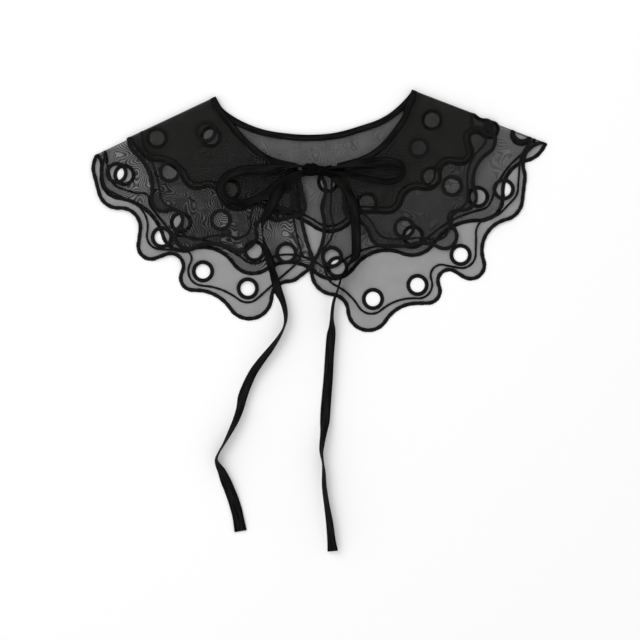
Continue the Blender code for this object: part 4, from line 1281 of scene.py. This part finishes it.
def add_piece(name, points, faces, finish, attributes):
    """Makes the object at the origin, with its place in its mesh, raised by the ripple that
    all the layers share, and lets it ride on the one body."""
    points = points.copy()
    points[:, 2] += ripple(points)
    mesh = bpy.data.meshes.new(name)
    mesh.from_pydata((points + SHIFT) * METRES, [], faces)
    for key, values in attributes.items():
        kind = "FLOAT_VECTOR" if values.ndim == 2 else "FLOAT"
        field = "vector" if values.ndim == 2 else "value"
        layer = mesh.attributes.new(key, kind, "POINT")
        layer.data.foreach_set(field, values.astype(np.float32).ravel())
    mesh.validate()
    mesh.shade_smooth()
    mesh.set_sharp_from_angle(angle=SHARP_ANGLE)
    mesh.materials.append(finish)
    item = bpy.data.objects.new(name, mesh)
    bpy.context.scene.collection.objects.link(item)
    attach(item, "root")
    return item


def joined(parts):
    """Several (points, faces, coordinates) as one, its faces counted on."""
    points, faces, coordinates = [], [], []
    first = 0
    for some_points, some_faces, some_coordinates in parts:
        points.append(some_points)
        faces += [[index + first for index in face] for face in some_faces]
        coordinates.append(some_coordinates)
        first += len(some_points)
    return np.concatenate(points), faces, np.concatenate(coordinates)


def beat_strength(points, on_front, beneath):
    """How strongly the threads of overlapping layers beat at each laid point: 1 on the left
    front, falling to a quarter on the right and where a fourth layer hides it, faint on the
    back, and 0 off the layer beneath or over one of its eyelets."""
    over = np.clip(-outside_by(points[:, :2], beneath) / BEAT_EDGE, 0, 1)
    away = np.linalg.norm(points[:, None, :2] - np.array(LOWER_BACK_EYELETS), axis=2)
    over *= np.clip((away.min(axis=1) - BEAT_HOLE_RADIUS) / BEAT_HOLE_EDGE, 0, 1)
    fall = np.clip((BEAT_FALL_START - points[:, 0]) / BEAT_FALL_LENGTH, 0, 1)
    deep = np.clip(-outside_by(points[:, :2], UPPER.outline) / BEAT_DEPTH, 0, 1)
    front = over * (BEAT_ON_RIGHT + (1 - BEAT_ON_RIGHT) * fall)
    front *= 1 - (1 - BEAT_UNDER_FOURTH) * deep
    return np.where(on_front, front, BEAT_ON_BACK * deep)


def turned_on_fold(points, bend):
    """sin of the angle by which a pattern point is turned round its fold."""
    found = np.zeros(len(points))
    for fold, chosen in by_fold(points):
        start, _, inward = fold_axes(fold)
        turn = np.clip(-((points[chosen] - start) @ inward) / bend, 0, math.pi)
        found[chosen] = np.sin(turn)
    return found


def clear_of_folds(hole):
    """A hole that reaches over a fold is cut on the back alone: its points beyond the fold
    are moved onto a line just before it."""
    start, _, inward = fold_axes(LEFT_FOLD if hole[0, 0] < 0 else RIGHT_FOLD)
    across = (hole - start) @ inward
    if across.min() < HOLE_TUCK < across.max():
        hole = hole + np.maximum(HOLE_TUCK - across, 0)[:, None] * inward
    return hole


def is_front(points, bend):
    """Whether a pattern point comes to lie on a front, past its fold."""
    front = np.zeros(len(points), bool)
    for fold, chosen in by_fold(points):
        start, _, inward = fold_axes(fold)
        front |= chosen & ((points - start) @ inward < -math.pi * bend)
    return front


# All that one tier is made from, with the strength of the beating grain in it and what it
# lies on.
Tier = namedtuple("Tier", "name rounds line holes bend back_height grain rests_on")
TIERS = (
    Tier(
        name="upper",
        rounds=UPPER_ROUNDS,
        line=UPPER_LINE,
        holes=UPPER_HOLES,
        bend=UPPER_BEND,
        back_height=back_upper_height,
        grain=0.4,
        rests_on="floor",
    ),
    Tier(
        name="lower",
        rounds=LOWER_ROUNDS,
        line=LOWER_LINE,
        holes=LOWER_HOLES,
        bend=LOWER_BEND,
        back_height=back_lower_height,
        grain=1.0,
        rests_on="upper_organza",
    ),
)


def add_tier(tier, cloth, finish):
    """A tier as a thin closed shell on the middle of its solid, with its cut width and
    length and its flat area."""
    bend = tier.bend
    pattern = tier_pattern(tier.rounds, tier.holes, bend, EDGE_TUCK, NECK_TUCK, FINE)
    rings = [
        clear_of_folds(ring_of(centre, cloth.eyelet_radius + HOLE_TUCK, HOLE_SIDES))
        for centre in pattern.eyelets
    ]
    fill = fill_points(pattern.outline, rings, bend, cloth.grid_step)
    flat, faces = flat_mesh(pattern.outline, rings, fold_lines(bend), fill)
    outer = laid(flat, cloth.thickness / 2, bend, tier.back_height)
    inner = laid(flat, -cloth.thickness / 2, bend, tier.back_height)
    beat = beat_strength(outer, is_front(flat, bend), LOWER.outline)
    weave = np.column_stack([flat, np.zeros(len(flat))])
    attributes = {
        "weave": np.tile(weave, (2, 1)),
        "beat": np.tile(beat * tier.grain, 2),
        "turned": np.tile(turned_on_fold(flat, bend), 2),
    }
    points = np.concatenate([outer, inner])
    shell = closed_shell(faces, len(flat))
    item = add_piece(tier.name + "_organza", points, shell, finish, attributes)
    span = pattern.outline.max(axis=0) - pattern.outline.min(axis=0)
    corners = flat[faces]
    area = np.abs(np.cross(corners[:, 1] - corners[:, 0], corners[:, 2] - corners[:, 0])).sum()
    return item, span * METRES, area / 2 * METRES**2


def edge_path(rounds, bend, tuck, neck_index):
    """An embroidered line in the pattern: the chain of rounds moved in by the tuck, between
    the points of the neck that are that many steps from its two ends."""
    chain = rounds_in_pattern(*(inset(rows, tuck) for rows in rounds), bend)
    neck = allow_for_folds(*neck_line(NECK_STEP), bend)
    first, last = neck[neck_index], neck[-1 - neck_index]
    edge = scalloped_edge(chain, first, last, FINE)
    return np.concatenate([[first], edge, [last]])


def add_embroidery(tier, trim, finish):
    """The edge cord, the fine line and the eyelet rings of one tier, each a piece."""

    def stitched(path, half_width, sides, closed=False):
        return cord_on_cloth(
            path,
            tier.bend,
            tier.back_height,
            half_width,
            trim.cord_half_height,
            sides,
            closed,
        )

    edge = edge_path(tier.rounds, tier.bend, trim.edge_half, 0)
    line = edge_path(tier.line, tier.bend, 0.0, 1)
    rings = [
        stitched(ring_of(centre, trim.ring_radius, RING_STEPS), trim.ring_half, RING_SIDES, True)
        for centre in tier_pattern(tier.rounds, tier.holes, tier.bend).eyelets
    ]
    kinds = {
        "edge_cord": stitched(edge, trim.edge_half, EDGE_SIDES),
        "fine_line": stitched(line, trim.line_half, LINE_SIDES),
        "eyelet_rings": joined(rings),
    }
    return [
        add_piece(f"{tier.name}_{kind}", points, faces, finish, {"run": coordinates})
        for kind, (points, faces, coordinates) in kinds.items()
    ]


def binding_surface():
    """The neck binding: the neck line moved sideways by the seam's gap and by half the band's
    width * (1 + u), and laid half its thickness * v off the middle of the cloth, with u a
    squared cosine and v a squared sine. Returns points, faces, (length, across) and the
    whole length."""
    angles = (np.arange(BAND_SIDES) + 0.5) * 2 * math.pi / BAND_SIDES
    u = squared(np.cos(angles), BAND_SQUARENESS)
    v = squared(np.sin(angles), BAND_SQUARENESS)
    moves = SEAM_GAP + BAND_WIDTH * (1 + u) / 2
    lines = [
        allow_for_folds(*neck_line(FINE_NECK_STEP, move), PITCH, FOLD_STEPS) for move in moves
    ]
    grid = np.stack(lines, axis=1)
    raised = np.broadcast_to(v * BAND_THICKNESS / 2, grid.shape[:2])
    points = laid(grid.reshape(-1, 2), raised.ravel(), PITCH, band_back_height)
    length = running_length(grid[:, 0])
    coordinates = run_coordinates(length[:, None], u, np.sign(raised))
    return points, tube_faces(len(grid), BAND_SIDES, False), coordinates, length[-1]


def knot_lobe(lobe, base):
    """One turn of the tape round the knot: along its length x = -cos t, its section a
    rounded box that swells by sin(t) ** fullness, with the folds of the wrapped tape raised
    round it as sines of x."""
    half = np.array([lobe.length, lobe.width, lobe.height]) / 2
    t = np.linspace(KNOT_END_ANGLE, math.pi - KNOT_END_ANGLE, KNOT_SIDES)[:, None]
    angles = (np.arange(KNOT_SIDES) * 2 * math.pi / KNOT_SIDES)[None, :]
    along = -np.cos(t)
    wraps = np.sin(KNOT_WRAPS * along + KNOT_WRAP_TWIST * np.sin(angles) + lobe.x)
    swell = np.sin(t) ** KNOT_END_FULLNESS * (1 + KNOT_WRAP_HEIGHT * wraps * (1 - along**4))
    y = squared(np.cos(angles), KNOT_SQUARENESS)
    z = squared(np.sin(angles), KNOT_SQUARENESS)
    run = np.broadcast_to(half[0] * along, swell.shape)
    side = half[1] * swell * y
    heading = math.radians(lobe.heading)
    grid = np.stack(
        [
            lobe.x + run * math.cos(heading) - side * math.sin(heading),
            lobe.y + run * math.sin(heading) + side * math.cos(heading),
            base + half[2] + half[2] * swell * z,
        ],
        axis=-1,
    )
    coordinates = run_coordinates(angles * half[1], along)
    return grid.reshape(-1, 3), tube_faces(KNOT_SIDES, KNOT_SIDES, False), coordinates


def knot_surface():
    """The knot: the turns of the tape, all resting on the cloth beneath."""
    base = stack_top(np.array([KNOT_CENTRE]), KNOT_REACH)[0] + TAPE_CLEARANCE
    return joined([knot_lobe(lobe, base) for lobe in KNOT_LOBES])


def add_tape(name, path, closed, relief, finish):
    """A length of tape on its path as one piece, closed for a loop, and its length."""
    points, faces, coordinates = tape_surface(path, closed, relief)
    item = add_piece(name, points, faces, finish, {"run": coordinates})
    return item, coordinates[:, 0].max()


class CollarCloth(bpy.types.PropertyGroup):
    """Sizes and colour of the two tiers."""

    thickness: FloatProperty(
        name="Cloth thickness",
        description="Thickness of one layer of organza, in millimetres",
        default=0.3,
        min=0.1,
        max=0.6,
    )
    grid_step: FloatProperty(
        name="Grid step",
        description="Spacing of the points inside a cut piece, in millimetres",
        default=3.8,
        min=2.0,
        max=12.0,
    )
    eyelet_radius: FloatProperty(
        name="Eyelet radius",
        description="Radius of the cut hole inside its ring, in millimetres",
        default=6.7,
        min=3.0,
        max=9.0,
    )
    cover: FloatProperty(
        name="Cover",
        description="Share of the light that one face of the cloth stops",
        default=0.242,
        min=0.0,
        max=1.0,
        subtype="FACTOR",
    )
    beat_depth: FloatProperty(
        name="Beat depth",
        description="How far the grain of overlapping layers changes the cover",
        default=0.29,
        min=0.0,
        max=1.0,
        subtype="FACTOR",
    )
    fold_cover: FloatProperty(
        name="Fold cover",
        description="Light that a face stops more where it stands upright on a fold",
        default=0.35,
        min=0.0,
        max=1.0,
        subtype="FACTOR",
    )
    colour: FloatVectorProperty(
        name="Yarn colour",
        description="Colour of the organza's yarn",
        default=linear("#1c1b1a"),
        min=0.0,
        max=1.0,
        size=3,
        subtype="COLOR",
    )


class CollarTrim(bpy.types.PropertyGroup):
    """Sizes and colours of what is sewn on."""

    edge_half: FloatProperty(
        name="Edge cord half width",
        description="Half the width of the satin-stitched edge, in millimetres",
        default=1.75,
        min=0.5,
        max=4.0,
    )
    line_half: FloatProperty(
        name="Fine line half width",
        description="Half the width of the line inside the edge, in millimetres",
        default=1.0,
        min=0.3,
        max=3.0,
    )
    ring_half: FloatProperty(
        name="Ring half width",
        description="Half the width of an eyelet's ring, in millimetres",
        default=1.75,
        min=0.3,
        max=3.0,
    )
    ring_radius: FloatProperty(
        name="Ring radius",
        description="Radius of the middle of an eyelet's ring, in millimetres",
        default=8.3,
        min=4.0,
        max=12.0,
    )
    cord_half_height: FloatProperty(
        name="Stitch half height",
        description="How far the stitches stand off the middle of the cloth, in millimetres",
        default=0.5,
        min=0.2,
        max=0.6,
    )
    crease_relief: FloatProperty(
        name="Tape creases",
        description="Height of the lengthwise creases of the tape, in millimetres",
        default=0.22,
        min=0.0,
        max=0.5,
    )
    thread: FloatVectorProperty(
        name="Thread",
        description="Colour of the embroidery thread in the light",
        default=linear("#201f1e"),
        min=0.0,
        max=1.0,
        size=3,
        subtype="COLOR",
    )
    thread_shadow: FloatVectorProperty(
        name="Thread shadow",
        description="Colour between the threads",
        default=linear("#0b0a0a"),
        min=0.0,
        max=1.0,
        size=3,
        subtype="COLOR",
    )
    # Painted light: the colour of the tape's lit streaks, standing in for light caught by its
    # creases.
    tape: FloatVectorProperty(
        name="Tape",
        description="Colour of the tape's worn streaks",
        default=linear("#1b1b1a"),
        min=0.0,
        max=1.0,
        size=3,
        subtype="COLOR",
    )
    knot: FloatVectorProperty(
        name="Knot",
        description="Colour of the tape in the knot, where it is tight and shaded",
        default=linear("#060606"),
        min=0.0,
        max=1.0,
        size=3,
        subtype="COLOR",
    )
    knot_shadow: FloatVectorProperty(
        name="Knot shadow",
        description="Colour of the knot's tape in its creases",
        default=linear("#030303"),
        min=0.0,
        max=1.0,
        size=3,
        subtype="COLOR",
    )
    # Painted shade: the colour of the tape in its creases and along its edges.
    tape_shadow: FloatVectorProperty(
        name="Tape shadow",
        description="Colour of the tape in its creases",
        default=linear("#050505"),
        min=0.0,
        max=1.0,
        size=3,
        subtype="COLOR",
    )


class CollarStage(bpy.types.PropertyGroup):
    """Floor, light and camera."""

    camera_height: FloatProperty(
        name="Camera height",
        description="Height of the camera above the floor",
        default=3.0,
        min=0.5,
        max=10.0,
        unit="LENGTH",
    )
    world_strength: FloatProperty(
        name="World strength",
        description="Strength of the even white surroundings",
        default=0.95,
        min=0.0,
        max=3.0,
    )
    light_power: FloatProperty(
        name="Light power",
        description="Power of the soft light from the upper left",
        default=9.0,
        min=0.0,
        max=100.0,
        unit="POWER",
    )
    floor: FloatVectorProperty(
        name="Floor",
        description="Colour of the floor",
        default=linear("#f4f4f4"),
        min=0.0,
        max=1.0,
        size=3,
        subtype="COLOR",
    )


class COLLAR_OT_tiers(bpy.types.Operator):
    """Cut, fold and lay the two organza tiers with their embroidery"""

    bl_idname = "collar.tiers"
    bl_label = "Tiers"

    def execute(self, context):
        cloth, trim = context.scene.collar_cloth, context.scene.collar_trim
        organza = organza_material(cloth)
        thread = stitched_material(trim)
        for tier in TIERS:
            item, span, area = add_tier(tier, cloth, organza)
            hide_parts(tier.name + "_tier")
            sewn = add_embroidery(tier, trim, thread)
        return {"FINISHED"}


class COLLAR_OT_binding(bpy.types.Operator):
    """Bind the neck edge of both tiers"""

    bl_idname = "collar.binding"
    bl_label = "Neck binding"

    def execute(self, context):
        trim = context.scene.collar_trim
        finish = tape_material("black cotton bias binding", trim.tape, trim.tape_shadow, 2.0)
        points, faces, coordinates, length = binding_surface()
        item = add_piece("neck_band", points, faces, finish, {"run": coordinates})
        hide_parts("neck_binding")
        return {"FINISHED"}


class COLLAR_OT_bow(bpy.types.Operator):
    """Tie the bow: two loops of tape and the knot round them"""

    bl_idname = "collar.bow"
    bl_label = "Bow"

    def execute(self, context):
        trim = context.scene.collar_trim
        finish = tape_material("black cotton tape of the bow", trim.tape, trim.tape_shadow, 3.0)
        # The knot's tape is painted darker than the loops': painted shade in and round the knot.
        tight = tape_material("black cotton tape of the knot", trim.knot, trim.knot_shadow, 3.0)
        for name, node, path in (
            ("left_loop", "bow_loop_left", LEFT_LOOP),
            ("right_loop", "bow_loop_right", RIGHT_LOOP),
        ):
            item, length = add_tape(name, path, True, trim.crease_relief, finish)
            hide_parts(node)
        points, faces, coordinates = knot_surface()
        knot = add_piece("knot", points, faces, tight, {"run": coordinates})
        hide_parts("bow_knot")
        return {"FINISHED"}


class COLLAR_OT_ties(bpy.types.Operator):
    """Lay the two long ends of the tape down the front"""

    bl_idname = "collar.ties"
    bl_label = "Ties"

    def execute(self, context):
        trim = context.scene.collar_trim
        finish = tape_material("black cotton tape of the ties", trim.tape, trim.tape_shadow, 2.4)
        for name, node, path in (
            ("left_tie", "tie_end_left", LEFT_TIE),
            ("right_tie", "tie_end_right", RIGHT_TIE),
        ):
            item, length = add_tape(name, path, False, trim.crease_relief, finish)
            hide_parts(node)
        return {"FINISHED"}


class COLLAR_OT_stage(bpy.types.Operator):
    """Set the floor, the soft light and the camera straight above"""

    bl_idname = "collar.stage"
    bl_label = "Stage"

    def execute(self, context):
        stage = context.scene.collar_stage
        mesh = bpy.data.meshes.new("floor")
        corners = [(-1, -1, 0), (1, -1, 0), (1, 1, 0), (-1, 1, 0)]
        mesh.from_pydata(np.array(corners) * FLOOR_HALF, [], [(0, 1, 2, 3)])
        mesh.materials.append(floor_material(stage))
        floor = bpy.data.objects.new("floor", mesh)
        context.scene.collection.objects.link(floor)

        world = bpy.data.worlds.new("studio")
        context.scene.world = world
        world.use_nodes = True
        background = world.node_tree.nodes["Background"]
        background.inputs["Color"].default_value = (1, 1, 1, 1)
        background.inputs["Strength"].default_value = stage.world_strength

        data = bpy.data.lights.new("soft_light", "AREA")
        data.energy = stage.light_power
        data.shape = "DISK"
        data.size = LIGHT_SIZE
        light = bpy.data.objects.new("soft_light", data)
        light.location = LIGHT_PLACE
        light.rotation_euler = Vector(light.location).to_track_quat("Z", "Y").to_euler()
        context.scene.collection.objects.link(light)

        view = bpy.data.cameras.new("camera")
        view.sensor_width = SENSOR_WIDTH
        view.lens = SENSOR_WIDTH * stage.camera_height / (FRAME_WIDTH * METRES)
        view.clip_end = FAR_CLIP
        camera = bpy.data.objects.new("camera", view)
        camera.location = (*(SHIFT[:2] * METRES), stage.camera_height)
        context.scene.collection.objects.link(camera)
        context.scene.camera = camera

        context.scene.view_settings.view_transform = "Standard"
        context.scene.cycles.transparent_max_bounces = TRANSPARENT_BOUNCES
        return {"FINISHED"}


OPERATORS = (
    COLLAR_OT_stage,
    COLLAR_OT_tiers,
    COLLAR_OT_binding,
    COLLAR_OT_bow,
    COLLAR_OT_ties,
)
GROUPS = {
    "collar_cloth": CollarCloth,
    "collar_trim": CollarTrim,
    "collar_stage": CollarStage,
}


class COLLAR_PT_panel(bpy.types.Panel):
    """Lists the sizes and the steps of the collar"""

    bl_label = "Organza collar"
    bl_idname = "COLLAR_PT_panel"
    bl_space_type = "VIEW_3D"
    bl_region_type = "UI"
    bl_category = "Collar"

    def draw(self, context):
        for key, group in GROUPS.items():
            box = self.layout.box()
            for name in group.__annotations__:
                box.prop(getattr(context.scene, key), name)
        for operator in OPERATORS:
            self.layout.operator(operator.bl_idname)


def register():
    """Registers the classes and puts their settings on the scene."""
    for item in (*GROUPS.values(), *OPERATORS, COLLAR_PT_panel):
        bpy.utils.register_class(item)
    for key, group in GROUPS.items():
        setattr(bpy.types.Scene, key, PointerProperty(type=group))


def unregister():
    """Takes the settings and the classes away again."""
    for key in GROUPS:
        delattr(bpy.types.Scene, key)
    for item in reversed((*GROUPS.values(), *OPERATORS, COLLAR_PT_panel)):
        bpy.utils.unregister_class(item)


def main():
    """Builds the collar on its stage."""
    register()
    bpy.ops.collar.stage()
    bpy.ops.collar.tiers()
    bpy.ops.collar.binding()
    bpy.ops.collar.bow()
    bpy.ops.collar.ties()


if __name__ == "__main__":
    main()
